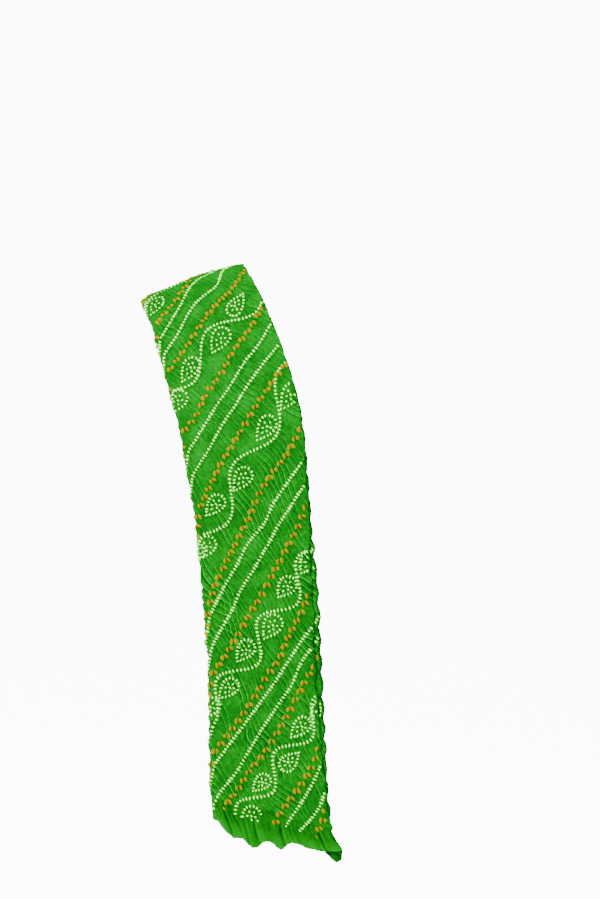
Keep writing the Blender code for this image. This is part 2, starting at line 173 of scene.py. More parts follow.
# The band by its drop below the shoulder: where its middle is, how wide it is, how it leans
# and turns (degrees), how its edges droop and how far the under layers show past the top one.
SECTIONS = [
    {"drop": 0, "centre": 0, "half_width": 66.5, "lean": 19.4, "turn": 0.0, "crown": 5.0, "peek": 0.0},
    {"drop": 32, "centre": 16, "half_width": 68.5, "lean": 17.8, "turn": 2.0, "crown": 4.5, "peek": 0.0},
    {"drop": 73, "centre": 31, "half_width": 71.5, "lean": 16.2, "turn": 4.0, "crown": 3.5, "peek": 0.0},
    {"drop": 118, "centre": 46, "half_width": 73.5, "lean": 13.8, "turn": 5.0, "crown": 3.0, "peek": 0.0},
    {"drop": 176, "centre": 61, "half_width": 74.5, "lean": 10.2, "turn": 6.0, "crown": 2.5, "peek": 0.5},
    {"drop": 234, "centre": 70, "half_width": 72.5, "lean": 6.6, "turn": 6.0, "crown": 2.2, "peek": 2.0},
    {"drop": 294, "centre": 77, "half_width": 70.0, "lean": 3.2, "turn": 5.5, "crown": 2.0, "peek": 3.5},
    {"drop": 376, "centre": 85, "half_width": 70.2, "lean": 1.0, "turn": 5.0, "crown": 1.8, "peek": 7.5},
    {"drop": 463, "centre": 91, "half_width": 68.5, "lean": 0.0, "turn": 4.0, "crown": 1.6, "peek": 8.0},
    {"drop": 551, "centre": 94, "half_width": 70.0, "lean": -1.0, "turn": 3.0, "crown": 1.4, "peek": 6.0},
    {"drop": 624, "centre": 97, "half_width": 71.0, "lean": -1.8, "turn": 2.5, "crown": 1.2, "peek": 2.0},
    {"drop": 700, "centre": 105, "half_width": 73.0, "lean": -2.0, "turn": 2.0, "crown": 1.0, "peek": 1.0},
]


def smooth_curve(rows, place, column):
    """A function that reads one column of a table at any places, smoothly through its rows."""
    xs = np.array([row[place] for row in rows], dtype=float)
    ys = np.array([row[column] for row in rows], dtype=float)
    slopes = np.gradient(ys, xs)

    def value(at):
        at = np.clip(at, xs[0], xs[-1])
        i = np.clip(np.searchsorted(xs, at, side="right") - 1, 0, len(xs) - 2)
        span = xs[i + 1] - xs[i]
        t = (at - xs[i]) / span
        return (ys[i] * (1 + 2 * t) * (1 - t) ** 2
                + ys[i + 1] * t * t * (3 - 2 * t)
                + span * slopes[i] * t * (1 - t) ** 2
                + span * slopes[i + 1] * t * t * (t - 1))

    return value


def ease(t):
    """0 to 1 with a soft start and end."""
    t = np.clip(t, 0.0, 1.0)
    return t * t * (3 - 2 * t)


def side_path(column):
    """How far out and how far down the band is, at even steps along it."""
    slope = smooth_curve(SLOPES, "along", column)
    steps = np.arange(int(PATH_END / PATH_STEP))
    angles = np.radians(slope((steps + 0.5) * PATH_STEP))
    out = np.concatenate([[0.0], np.cumsum(PATH_STEP * np.cos(angles))])
    down = np.concatenate([[0.0], np.cumsum(PATH_STEP * np.sin(angles))])
    return out, down


front_out, front_down = side_path("front")
back_out, back_down = side_path("back")
path_along = np.arange(-len(back_out) + 1, len(front_out)) * PATH_STEP
path_forward = np.concatenate([back_out[::-1], -front_out[1:]])
path_drop = np.concatenate([back_down[::-1], front_down[1:]])
centre_at = smooth_curve(SECTIONS, "drop", "centre")
half_width_at = smooth_curve(SECTIONS, "drop", "half_width")
lean_at = smooth_curve(SECTIONS, "drop", "lean")
turn_at = smooth_curve(SECTIONS, "drop", "turn")
crown_at = smooth_curve(SECTIONS, "drop", "crown")
peek_at = smooth_curve(SECTIONS, "drop", "peek")


def drop_at(along):
    """How far below the shoulder a place along the band is."""
    return np.interp(along, path_along, path_drop)


def middle(along):
    """Points on the band's middle line. Its underside on the shoulder is the origin."""
    drop = drop_at(along)
    return np.stack([centre_at(drop), np.interp(along, path_along, path_forward),
                     FOLD_RADIUS - drop], axis=-1)


def half_width(along):
    """Half the band's width there. The back fall is a little narrower."""
    return half_width_at(drop_at(along)) * np.where(along >= 0, 1.0, BACK_WIDTH)


def peek(along):
    """How far the under layers show past the top one on the neck side."""
    return np.where(along >= 0, peek_at(drop_at(along)), 0.0)


def band_points(along, across, height):
    """The points at these distances along, across and above the band, in metres."""
    drop = drop_at(along)
    lean = np.radians(lean_at(drop))
    turn = np.radians(turn_at(drop)) * np.where(along >= 0, -1.0, 1.0)
    to_neck = np.stack([np.cos(lean) * np.cos(turn), np.sin(turn), np.sin(lean)], axis=-1)
    outward = np.cross(middle(along + 1.0) - middle(along - 1.0), to_neck)
    outward /= np.linalg.norm(outward, axis=-1, keepdims=True)
    height = height - crown_at(drop) * (across / half_width(along)) ** 2
    return (middle(along) + across[..., None] * to_neck + height[..., None] * outward) * MM


def unfold(along, reach):
    """Where a place on the outer cloth lies in the band, and the way out of the cloth there.

    Gives how far across and how high it is, then the outward direction's two parts.
    """
    centre = FOLD_RADIUS - half_width(along)
    angle = math.pi - np.clip(reach, -FOLD_REACH, FOLD_REACH) / FOLD_RADIUS
    flat = np.maximum(np.abs(reach) - FOLD_REACH, 0.0)
    across = centre + FOLD_RADIUS * np.cos(angle) + flat
    return across, FOLD_RADIUS * np.sin(angle), np.cos(angle), np.sin(angle)


def cloth_points(along, reach, lift):
    """Points on the outer cloth, moved out of it by the lift, in metres."""
    across, height, out_across, out_up = unfold(along, reach)
    return band_points(along, across + out_across * lift, height + out_up * lift)


# ---------------------------------------------------------------- the crinkle
# Bandhani is tied before it is dyed. Each bound point leaves a peak, and the cloth between the
# tied rows sets in sharp creases square to the rows. They are uneven, and fork and fade.

RIDGE_SPACING = 13.5
RIDGE_UNEVENNESS = 2.6
RIDGE_HEIGHT = 1.5
RIDGE_SLANT = 0.62        # how far a ridge drops for each millimetre towards the neck
RIDGE_SWELL = 0.38        # how much of its height a ridge gains and loses, over what length
RIDGE_SWELL_LENGTH = 132.0
CREST_SHIFT = 0.14        # how far a crest strays from the middle of its ridge, as a share
SLANT_FULL_AT = 210.0     # the ridges reach that slant this far along
PRESSED_WITHIN = 95.0     # the leaf that lies on the shoulder is flat this far each way
FRONT_BORDER = 692.0      # where the plain borders begin
BACK_BORDER = -670.0
BORDER_SLANT = 0.23
BORDER_FADE = 170.0       # the ridges swing to the borders' slant over this length
SOFT_RIDGES = 0.75        # what the fine creases leave of the ridges
RIDGE_SHADE = 0.25        # how dark the painted shade is between two ridges
CREASE_SWELL = 2.0        # how sharply a crease rises on its upper side
CREASE_BACK = 0.15        # how far it takes to fall on its lower side, as a share of its width
CREST_LINE = 0.095        # half the width of the painted highlight line on its crest, as a share too
SHADE_AT = 0.24           # where the painted shade line under it lies, and half its width
SHADE_LINE = 0.12
CREASE_LENGTH = 36.0      # a crease comes and goes over about this length
CREASE_COMING = 0.8       # how strongly it comes and goes
CREASE_BEND = 1.2         # how far creases stray, in their own spacings, in long bends
BEND_SIZE = (47, 38)      # how large those are along the band and across it
CREASE_WIGGLE = 0.25      # and the same in short ones
WIGGLE_SIZE = (14, 15)
CREST_PALE = 0.4          # how bright the painted highlight on a crest is, and how much more on full creases
CREST_PALER = 0.5
VALLEY_DARK = 0.3         # and how dark the painted shade line under it
VALLEY_DARKER = 0.6
CREASE_PATCH = 30.0       # the kinds of crease take turns in patches of this size
SMOOTH_ON_SHOULDER = 0.35  # how much of the creases is left on the shoulder
SMOOTH_WITHIN = 90.0      # it is as little as that this far each way, and full this much further on
SMOOTH_FADE = 330.0
LUMP_SIZE = 5.2
LUMP_HEIGHT = 0.95
# Kinds of fine crease: how far one drops for each millimetre towards the neck, their spacing
# along the band, height, how many of them show, how strongly they keep to the patches of their
# own kind (the other sign keeps to the patches between), and the seed of their unevenness.
FINE_CREASES = [
    {"slant": 1.4, "spacing": 9.6, "height": 1.45, "shows": 0.5, "keeps": 1.0, "seed": 5},
    {"slant": 2.3, "spacing": 14.6, "height": 1.45, "shows": 0.4, "keeps": -1.0, "seed": 25},
]
NOISE_LATTICE = 64


def drift(x, y, seed):
    """A smooth random field from -1 to 1 that swells once in each unit of x and of y."""
    lattice = np.random.RandomState(seed).uniform(-1, 1, (NOISE_LATTICE, NOISE_LATTICE))
    x0 = np.floor(x).astype(int)
    y0 = np.floor(y).astype(int)
    fx = x - x0
    fy = y - y0
    fx = fx * fx * (3 - 2 * fx)
    fy = fy * fy * (3 - 2 * fy)
    near = lattice[x0 % NOISE_LATTICE, y0 % NOISE_LATTICE] * (1 - fx)
    near = near + lattice[(x0 + 1) % NOISE_LATTICE, y0 % NOISE_LATTICE] * fx
    far = lattice[x0 % NOISE_LATTICE, (y0 + 1) % NOISE_LATTICE] * (1 - fx)
    far = far + lattice[(x0 + 1) % NOISE_LATTICE, (y0 + 1) % NOISE_LATTICE] * fx
    return near * (1 - fy) + far * fy


def slant_at(row):
    """How far a row drops for each millimetre towards the neck."""
    slant = RIDGE_SLANT * ease(np.abs(row) / SLANT_FULL_AT)
    to_border = np.minimum(FRONT_BORDER - row, row - BACK_BORDER)
    return BORDER_SLANT + (slant - BORDER_SLANT) * ease(to_border / BORDER_FADE)


def row_of(along, across):
    """The row, named by where it crosses the band's middle, that passes through a place."""
    row = np.array(along, dtype=float)
    for _ in range(8):
        row = along - slant_at(row) * across
    return row


trough_rows = [BACK_BORDER]
while trough_rows[-1] < FRONT_BORDER - 1.5 * RIDGE_SPACING:
    ridge = len(trough_rows) - 1
    trough_rows.append(trough_rows[-1] + RIDGE_SPACING + RIDGE_UNEVENNESS * math.sin(2.4 * ridge + 0.7))
trough_rows.append(FRONT_BORDER)
trough_rows = np.array(trough_rows)


def crease(phase, strength):
    """A leaning crease's rise, the painted highlight line on its crest and the painted shade line under it.
    """
    off = phase - np.round(phase)
    rise = np.where(off < 0, (1 + 2 * off) ** CREASE_SWELL, np.exp(-off / CREASE_BACK))
    line = np.exp(-(off / CREST_LINE) ** 2)
    under = np.exp(-((off - SHADE_AT) / SHADE_LINE) ** 2)
    return rise * strength, line * strength, under * strength


def crinkle(row, along, reach):
    """How far the creases lift the cloth, the painted highlight on crests and the painted shade in folds and
    between ridges.
    """
    ridge = np.clip(np.searchsorted(trough_rows, row, side="right") - 1, 0, len(trough_rows) - 2)
    share = (row - trough_rows[ridge]) / (trough_rows[ridge + 1] - trough_rows[ridge])
    share = np.clip(share, 0.0, 1.0)
    crest = 0.5 + CREST_SHIFT * np.sin(1.7 * ridge)
    tent = np.where(share < crest, share / crest, (1 - share) / (1 - crest))
    across = np.abs(reach) - half_width(along)
    swell = 1 - RIDGE_SWELL + RIDGE_SWELL * np.sin(2 * math.pi * across / RIDGE_SWELL_LENGTH + 1.9 * ridge)
    broad = SOFT_RIDGES * RIDGE_HEIGHT * swell * (0.8 + 0.2 * np.sin(3.1 * ridge)) * ease(tent)
    rear = reach < -FOLD_REACH
    broad = np.where(rear, broad * ease((np.abs(along) - PRESSED_WITHIN) / PRESSED_WITHIN), broad)

    calm = ease((np.abs(along) - SMOOTH_WITHIN) / SMOOTH_FADE)
    calm = SMOOTH_ON_SHOULDER + (1 - SMOOTH_ON_SHOULDER) * calm
    lift = broad + LUMP_HEIGHT * calm * drift(along / LUMP_SIZE, reach / LUMP_SIZE, 13)
    pale = 0.0 * lift
    # Painted shade between the ridges.
    dark = RIDGE_SHADE * calm * (1 - tent) ** 3 * swell
    patch = drift(along / CREASE_PATCH, reach / CREASE_PATCH, 8)
    for kind in FINE_CREASES:
        seed = kind["seed"]
        phase = (along - kind["slant"] * across) / kind["spacing"]
        phase = phase + CREASE_BEND * drift(along / BEND_SIZE[0], reach / BEND_SIZE[1], seed)
        phase = phase + CREASE_WIGGLE * drift(along / WIGGLE_SIZE[0], reach / WIGGLE_SIZE[1], seed + 1)
        number = np.round(phase)
        shows = kind["shows"] + CREASE_COMING * drift(number * 0.77 + 3, reach / CREASE_LENGTH, seed + 2)
        shows = shows + kind["keeps"] * patch
        rise, line, under = crease(phase, np.clip(shows, 0.0, 1.2))
        lift = lift + kind["height"] * calm * rise
        # A painted highlight on each crest and a painted shade line under it.
        pale = np.maximum(pale, (CREST_PALE + CREST_PALER * calm) * line)
        dark = np.maximum(dark, (VALLEY_DARK + VALLEY_DARKER * calm) * under)
    return lift, np.clip(pale, 0.0, 1.0), np.clip(dark, 0.0, 1.0)


# ---------------------------------------------------------------- the tied pattern
# Rows of bound points run aslant over the cloth in sets: orange, two white, orange, then a
# wavy white vine with paisleys in its bays. The cloth was dyed flat, so the rows run on round
# the fold. White points were bound first, orange ones after a bath of yellow dye.

WHITE_PITCH = 4.15
ORANGE_PITCH = 11.8
VINE_PITCH = 4.5
ORANGE_HALF_GAP = 2.7
ORANGE_TILT = 27          # degrees that a pair of orange ties is turned, at the most
ROW_STRAY = 2.4           # how far a row strays from its line, and over what length
STRAY_LENGTH = 31
PAISLEY_LENGTH = 33.0
PAISLEY_WIDTH = 20.5
PAISLEY_OUTLINE = 18      # ties in its outline, and in the smaller teardrop inside it
PAISLEY_INSIDE = 6
PAISLEY_INSIDE_SIZE = 0.46
PAISLEY_HEART = 0.2       # its heart lies this far behind its middle, as a share of half its length
PAISLEY_TIP = (-0.56, 0.83)  # the way its tip points on the front leaf, in reach and along
PAISLEY_FROM_VINE = 18.5
PATTERN_REPEAT = 178.0
EDGE_MARGIN = 2.0
BORDER_MARGIN = 4.0

# Rows on the front leaf: how far across and along they start on the neck side, and end on the
# arm side; how far a row bows towards the arm (down the band if negative); and how far it
# bulges towards the neck, at what distance from its start. Rows without these run straight.
FRONT_ROWS = [
    {"dye": "orange", "neck": (21.0, 11), "arm": (-66.8, 78), "bulge": -9.0, "bulge_at": 14},
    {"dye": "white", "neck": (27.8, 19), "arm": (-68.9, 101), "bow": 1.5, "bulge": -7.0, "bulge_at": 30},
    {"dye": "white", "neck": (47.4, 12), "arm": (-69.0, 121), "bulge": 12.0, "bulge_at": 43},
    {"dye": "orange", "neck": (64.0, 35), "arm": (-70.0, 142), "bulge": 5.6, "bulge_at": 34},
    {"dye": "orange", "neck": (67.0, 98), "arm": (-72.0, 224), "bow": 3.4},
    {"dye": "white", "neck": (71.5, 117), "arm": (-71.0, 250), "bow": 6.0},
    {"dye": "white", "neck": (73.3, 141), "arm": (-70.0, 282), "bow": 9.8},
    {"dye": "orange", "neck": (73.6, 162.5), "arm": (-70.6, 333), "bow": 11.0},
    {"dye": "orange", "neck": (70.7, 241.5), "arm": (-67.9, 450), "bow": 13.8},
    {"dye": "white", "neck": (70.7, 273), "arm": (-67.5, 464), "bow": 9.5},
    {"dye": "white", "neck": (68.5, 297), "arm": (-67.2, 497), "bow": 4.6},
    {"dye": "orange", "neck": (67.8, 323), "arm": (-67.5, 529), "bow": -1.8},
    {"dye": "orange", "neck": (62.3, 423), "arm": (-71.0, 627), "bow": -4.5},
    {"dye": "white", "neck": (61.7, 461), "arm": (-71.0, 643)},
    {"dye": "white", "neck": (60.2, 484), "arm": (-71.0, 685), "bow": -2.5},
    {"dye": "orange", "neck": (61.1, 509), "arm": (-54.2, 682), "bow": -5.0},
    {"dye": "orange", "neck": (66.5, 597), "arm": (8.7, 691), "bow": -6.5},
    {"dye": "white", "neck": (66.9, 619), "arm": (17.4, 700), "bow": -3.5},
    {"dye": "white", "neck": (69.5, 647), "arm": (29.6, 710), "bow": -7.0},
    {"dye": "orange", "neck": (72.0, 670), "arm": (52.0, 712)},
    {"dye": "white", "neck": (73.5, 696), "arm": (66.0, 716)},
]
# Vines: their mean line as for the rows, the length and half-height of a wave, how far it is
# moved towards the neck and where the first bay lies.
FRONT_VINES = [
    {"neck": (69.0, -62), "arm": (-69.0, 52), "wave": 150.0, "sway": 14.0, "shift": 0.0, "first_bay": 90.0},
    {"neck": (67.0, 81), "arm": (-69.0, 167), "wave": 114.0, "sway": 14.9, "shift": -4.4, "first_bay": 16.7},
    {"neck": (61.8, 186), "arm": (-59.4, 346), "wave": 122.0, "sway": 14.6, "shift": 4.3, "first_bay": 55.4},
    {"neck": (67.6, 383.5), "arm": (-82.3, 584), "wave": 90.0, "sway": 14.5, "shift": 0.0, "first_bay": 57.0},
    {"neck": (58.2, 554), "arm": (-41.3, 686), "wave": 80.0, "sway": 13.1, "shift": 10.6, "first_bay": 39.2},
]
# Their paisleys: how far down the vine's mean line and how far to its neck side, and the size,
# which is negative where the tip points up the row.
FRONT_PAISLEYS = [
    {"vine": 0, "down": 90, "aside": -4.5, "size": 1.0},
    {"vine": 0, "down": 165, "aside": 4.5, "size": 1.0},
    {"vine": 1, "down": 26, "aside": -15, "size": -0.92},
    {"vine": 1, "down": 73, "aside": 1, "size": 1.05},
    {"vine": 1, "down": 124, "aside": -3, "size": 1.0},
    {"vine": 1, "down": 165, "aside": 13, "size": 1.0},
    {"vine": 2, "down": 12, "aside": 14, "size": 1.0},
    {"vine": 2, "down": 58, "aside": 4.5, "size": 1.0},
    {"vine": 2, "down": 126, "aside": 8, "size": 1.0},
    {"vine": 2, "down": 172, "aside": -4, "size": 1.0},
    {"vine": 2, "down": 224, "aside": 14, "size": 1.0},
    {"vine": 3, "down": 11, "aside": 0, "size": 0.9},
    {"vine": 3, "down": 51, "aside": -6, "size": 0.92},
    {"vine": 3, "down": 102, "aside": 4.5, "size": 1.0},
    {"vine": 3, "down": 146, "aside": -6, "size": 0.92},
    {"vine": 3, "down": 196, "aside": 4, "size": 0.92},
    {"vine": 3, "down": 229, "aside": 0, "size": 0.95},
    {"vine": 4, "down": 6, "aside": 11, "size": 0.8},
    {"vine": 4, "down": 38, "aside": 6, "size": 0.95},
    {"vine": 4, "down": 77, "aside": 17.5, "size": -0.86},
    {"vine": 4, "down": 121, "aside": 7, "size": 0.8},
    {"vine": 4, "down": 164, "aside": 19, "size": 0.9},
]
# One set of rows, by where each crosses the band's middle, for the cloth beyond the front.
HIDDEN_SET = [
    {"dye": "orange", "at": 0.0},
    {"dye": "white", "at": 26.0},
    {"dye": "white", "at": 54.0},
    {"dye": "orange", "at": 78.0},
    {"dye": "vine", "at": 114.0},
]
HIDDEN_SETS = 5
HIDDEN_ROW_NECK = 70.0    # how far across their rows start and end
HIDDEN_ROW_ARM = -68.0
HIDDEN_VINE = {"wave": 105.0, "sway": 14.0, "shift": 3.0}
FIRST_ROW_AT = 58.0
BULGE_LENGTH = 24.0
BEYOND_EDGE = 84.0        # rows run on to here across the band, and are cut off at the edge
REAR_REACH = 150.0        # and to this reach on the rear leaf
FOLD_SLIP = 26.0          # how far a row runs down along the fold, within the reaches below
SLIP_FROM = 9.0
SLIP_WIDTH = 13.0

chance = np.random.RandomState(11)
ties = {"white": [], "orange": [], "brown": []}


def reach_of(across, along):
    """The cloth's reach from the fold, for a place on the front leaf."""
    return across + half_width(along) - FOLD_RADIUS + FOLD_REACH


def row_steepness(at):
    """How far a row of the pattern drops for each millimetre towards the arm."""
    return 0.76 + 0.78 * float(ease((abs(at) - 40) / 300))


def straight_run(neck, arm):
    """A row's start, its direction, where it enters the cloth, reaches the arm side and ends."""
    start = np.array([float(reach_of(neck[0], neck[1])), neck[1]])
    end = np.array([float(reach_of(arm[0], arm[1])), arm[1]])
    front = np.hypot(*(end - start))
    direction = (end - start) / front
    enters = (BEYOND_EDGE - neck[0]) / direction[0]
    return start, direction, enters, front, (start[0] + REAR_REACH) / -direction[0]


def round_fold(place):
    """A row turns down along the fold before it goes on behind it."""
    return place + np.array([0.0, FOLD_SLIP * float(ease((SLIP_FROM - place[0]) / SLIP_WIDTH))])


def next_tie(place_at, at, pitch):
    """How far down its line a row's next tie comes, at about one pitch from this one."""
    step = np.hypot(*(place_at(at + 1.0) - place_at(at)))
    return at + pitch / max(step, 1.0)


def tie(dye, place, size, turn):
    """Ties a point at a reach and along. "turn" is the way of its long axis."""
    ties[dye].append((place[1], place[0], size, turn + chance.uniform(-0.25, 0.25)))


def tie_row(dye, neck, arm, bow=0.0, bulge=0.0, bulge_at=0):
    """Ties one row, which strays a little from its line."""
    start, direction, at, front, end = straight_run(neck, arm)
    aside = np.array([-direction[1], direction[0]])
    square = math.atan2(-aside[1], -aside[0])
    seed = int(chance.randint(1000))

    def place_at(at):
        stray = ROW_STRAY * float(drift(np.array(at / STRAY_LENGTH), np.array(0.5), seed))
        stray += bow * math.sin(math.pi * min(max(at / front, 0.0), 1.0))
        stray -= bulge * math.exp(-((at - bulge_at) / BULGE_LENGTH) ** 2)
        return round_fold(start + direction * at + aside * stray)

    while at < end:
        place = place_at(at)
        if dye == "white":
            tie("white", place, chance.uniform(0.86, 1.12), square)
            at = next_tie(place_at, at, WHITE_PITCH * chance.uniform(0.88, 1.12))
        else:
            tilt = math.radians(chance.uniform(0, ORANGE_TILT)) * (-1.0 if place[0] < 0 else 1.0)
            apart = np.array([math.cos(tilt), -math.sin(tilt)])
            tie("brown", place, chance.uniform(0.85, 1.15), math.pi / 2 - tilt)
            for half in (-ORANGE_HALF_GAP, ORANGE_HALF_GAP):
                tie("orange", place + half * apart, chance.uniform(0.86, 1.12),
                    math.pi / 2 - tilt - 0.12 * half)
            at = next_tie(place_at, at, ORANGE_PITCH * chance.uniform(0.9, 1.1))


def tie_paisley(centre, tip_direction, scale_by=1.0):
    """A teardrop of points with a smaller one inside it. Each point stands square to its line."""
    tip = np.array(tip_direction) / np.hypot(*tip_direction)
    side = np.array([-tip[1], tip[0]])
    length = PAISLEY_LENGTH * scale_by * chance.uniform(0.96, 1.04) / 2
    width = PAISLEY_WIDTH * abs(scale_by) ** 0.5 * chance.uniform(0.92, 1.06) / 1.54
    turns = np.linspace(0, 2 * math.pi, 200)
    outline = np.stack([np.cos(turns), np.sin(turns) * np.abs(np.sin(turns / 2)) ** 1.1], axis=1)
    outline[:, 1] += 0.06 * (outline[:, 0] + 1) ** 2
    run = np.concatenate([[0.0], np.cumsum(np.hypot(*np.diff(outline * [length, width], axis=0).T))])
    for scale, count, shrink in ((1.0, PAISLEY_OUTLINE, 1.0), (PAISLEY_INSIDE_SIZE, PAISLEY_INSIDE, 0.9)):
        for i in range(count):
            at = run[-1] * (i + chance.uniform(-0.12, 0.12)) / count % run[-1]
            x = np.interp(at, run, outline[:, 0]) * length * scale - (1 - scale) * PAISLEY_HEART * length
            y = np.interp(at, run, outline[:, 1]) * width * scale
            out = tip * (x + PAISLEY_HEART * length) * width / length + side * y
            tie("white", np.array(centre) + tip * x + side * y, shrink * chance.uniform(0.78, 0.98),
                math.atan2(out[1], out[0]))
    tie("white", np.array(centre) - PAISLEY_HEART * length * tip, 0.85, 0.8)


def tie_vine(neck, arm, wave, sway, shift, first_bay, paisleys=()):
    """A wavy row, with a paisley in each bay, also in those that no paisley is given for."""
    start, direction, at, _, end = straight_run(neck, arm)
    aside = np.array([direction[1], -direction[0]])

    def place_at(at):
        bend = 2 * math.pi * (at - first_bay) / wave
        return round_fold(start + direction * at + aside * (shift + sway * math.cos(bend)))

    while at < end:
        along_it = place_at(at + 1.0) - place_at(at)
        tie("white", place_at(at), chance.uniform(0.85, 1.1), math.atan2(-along_it[0], along_it[1]))
        at = next_tie(place_at, at, VINE_PITCH * chance.uniform(0.9, 1.1))
    bays = [(one["down"], one["aside"], one["size"]) for one in paisleys]
    bay = math.floor(((bays[-1][0] + 10 if bays else 0.0) - first_bay) / (wave / 2)) + 1
    while first_bay + bay * wave / 2 < end:
        way = 1.0 if bay % 2 == 0 else -1.0
        bays.append((first_bay + bay * wave / 2, shift + way * (sway - PAISLEY_FROM_VINE), 1.0))
        bay += 1
    for down, off, size in bays:
        tip = np.array([PAISLEY_TIP[0] + chance.uniform(-0.12, 0.12), PAISLEY_TIP[1]])
        tie_paisley(start + direction * down + aside * off, tip * np.sign(size), abs(size))


for row in FRONT_ROWS:
    tie_row(**row)
for number, vine in enumerate(FRONT_VINES):
    tie_vine(**vine, paisleys=[one for one in FRONT_PAISLEYS if one["vine"] == number])
for number in range(1, HIDDEN_SETS + 1):
    for row in HIDDEN_SET:
        at = FIRST_ROW_AT - PATTERN_REPEAT * number + row["at"]
        drop = row_steepness(at) * HIDDEN_ROW_NECK
        neck = (HIDDEN_ROW_NECK, at - drop)
        arm = (HIDDEN_ROW_ARM, at + drop)
        if row["dye"] == "vine" and number > 1:
            tie_vine(neck, arm, **HIDDEN_VINE, first_bay=chance.uniform(10, 60))
        elif row["dye"] != "vine":
            tie_row(row["dye"], neck, arm)

ties = {dye: np.array(rows) for dye, rows in ties.items()}

# ---------------------------------------------------------------- the cloth round the ties
# Each bound point stands up as a small peak, and short puckers run from it along the creases.
# Shade is painted dark into the cloth beside it.

BORDER_TIES = 13.0        # a few ties reach this far into the front border
BORDER_RISE = 1.8         # and the cloth rises by this much there
# How far the marks at a tied point spread, in millimetres: half along them and half across. The mark keyed
# dye is painted shade beside the point.
MARKS = {
    "white": {"pucker": (7.5, 0.75), "peak": (1.9, 1.4), "dye": (2.9, 2.3)},
    "orange": {"pucker": (7.0, 0.9), "peak": (2.0, 1.7), "dye": (3.0, 2.5)},
}
PUCKER_HEIGHT = 0.9
PUCKER_SMOOTHS = 0.35     # what a pucker takes from the creases it runs over, as a share
PUCKER_PALE = 0.7
PUCKER_UNEVENNESS = 0.9
PUCKER_SLANT = 1.45       # puckers run about as steep as the fine creases
PUCKER_TURN = 0.55        # radians by which an uneven pucker turns from the creases, at the most
WHITE_PEAK = 0.75
ORANGE_PEAK = 1.0
WHITE_TIE_SHADE = 0.7           # how dark the painted shade beside a white tie is, for 1 beside an orange one
# How strongly the painted shade beside the ties darkens the cloth.
TIE_SHADE_STRENGTH = 0.9
MAP_STEP = 0.5
MAP_ALONG = (-780.0, 780.0)
MAP_REACH = (-165.0, 165.0)
MAP_SHAPE = (int((MAP_ALONG[1] - MAP_ALONG[0]) / MAP_STEP), int((MAP_REACH[1] - MAP_REACH[0]) / MAP_STEP))


def stamp(dye, mark, turn=None, uneven=0.0):
    """A map of the cloth with one soft oval on each point of a dye, turned as the point is."""
    long_spread, short_spread = MARKS[dye][mark]
    field = np.zeros(MAP_SHAPE, np.float32)
    over = int(3 * long_spread / MAP_STEP)
    steps = np.arange(-over, over + 1)
    for along, reach, size, own_turn in ties[dye]:
        way = own_turn if turn is None else (turn if reach > 0 else math.pi - turn)
        way += uneven * chance.uniform(-PUCKER_TURN, PUCKER_TURN)
        strength = size * (1 - uneven * chance.uniform(0, 1))
        i = int(round((along - MAP_ALONG[0]) / MAP_STEP))
        j = int(round((reach - MAP_REACH[0]) / MAP_STEP))
        rows = i + steps
        columns = j + steps
        rows = rows[(rows >= 0) & (rows < MAP_SHAPE[0])]
        columns = columns[(columns >= 0) & (columns < MAP_SHAPE[1])]
        if len(rows) == 0 or len(columns) == 0:
            continue
        down = (MAP_ALONG[0] + rows * MAP_STEP - along)[:, None]
        over_it = (MAP_REACH[0] + columns * MAP_STEP - reach)[None, :]
        far = over_it * math.cos(way) + down * math.sin(way)
        near = -over_it * math.sin(way) + down * math.cos(way)
        oval = strength * np.exp(-0.5 * ((far / long_spread) ** 2 + (near / short_spread) ** 2))
        patch = field[rows[0]:rows[-1] + 1, columns[0]:columns[-1] + 1]
        np.maximum(patch, oval, out=patch)
    return field


def read_map(field, along, reach):
    """A map's value at places on the cloth."""
    x = np.clip((along - MAP_ALONG[0]) / MAP_STEP, 0, MAP_SHAPE[0] - 1.001)
    y = np.clip((reach - MAP_REACH[0]) / MAP_STEP, 0, MAP_SHAPE[1] - 1.001)
    i = x.astype(int)
    j = y.astype(int)
    fx = x - i
    fy = y - j
    return ((field[i, j] * (1 - fx) + field[i + 1, j] * fx) * (1 - fy)
            + (field[i, j + 1] * (1 - fx) + field[i + 1, j + 1] * fx) * fy)


pucker_turn = math.atan(PUCKER_SLANT)
white_puckers = stamp("white", "pucker", pucker_turn, PUCKER_UNEVENNESS)
white_peaks = stamp("white", "peak")
orange_puckers = stamp("orange", "pucker", pucker_turn, PUCKER_UNEVENNESS)
orange_peaks = stamp("orange", "peak")
# Shade painted beside the ties, fullest beside an orange one.
tie_shade = np.maximum(WHITE_TIE_SHADE * stamp("white", "dye"), stamp("orange", "dye"))


def relief(along, reach, row=None):
    """The cloth's lift in millimetres, its paleness (the painted highlight on crests, and paler puckers), and
    its painted shade.
    """
    if row is None:
        row = row_of(along, np.abs(reach) - half_width(along))
    lift, pale, dark = crinkle(row, along, reach)
    pucker = np.maximum(read_map(white_puckers, along, reach), read_map(orange_puckers, along, reach))
    peak = WHITE_PEAK * read_map(white_peaks, along, reach)
    peak = peak + ORANGE_PEAK * read_map(orange_peaks, along, reach)
    lift = lift * (1 - PUCKER_SMOOTHS * pucker) + PUCKER_HEIGHT * pucker + peak
    lift = lift + BORDER_RISE * np.clip((row - FRONT_BORDER) / BORDER_TIES, 0, 1)
    pale = np.maximum(pale, PUCKER_PALE * pucker)
    # The painted shade beside the ties.
    dark = np.maximum(dark, TIE_SHADE_STRENGTH * read_map(tie_shade, along, reach))
    return lift, pale, dark


# ---------------------------------------------------------------- the outer cloth
# One leaf in front, one behind, in thin crinkled cotton dyed bright green. Three stretches make
# it: down the front, over the shoulder and down the back. Its neck-side edges are selvedges.

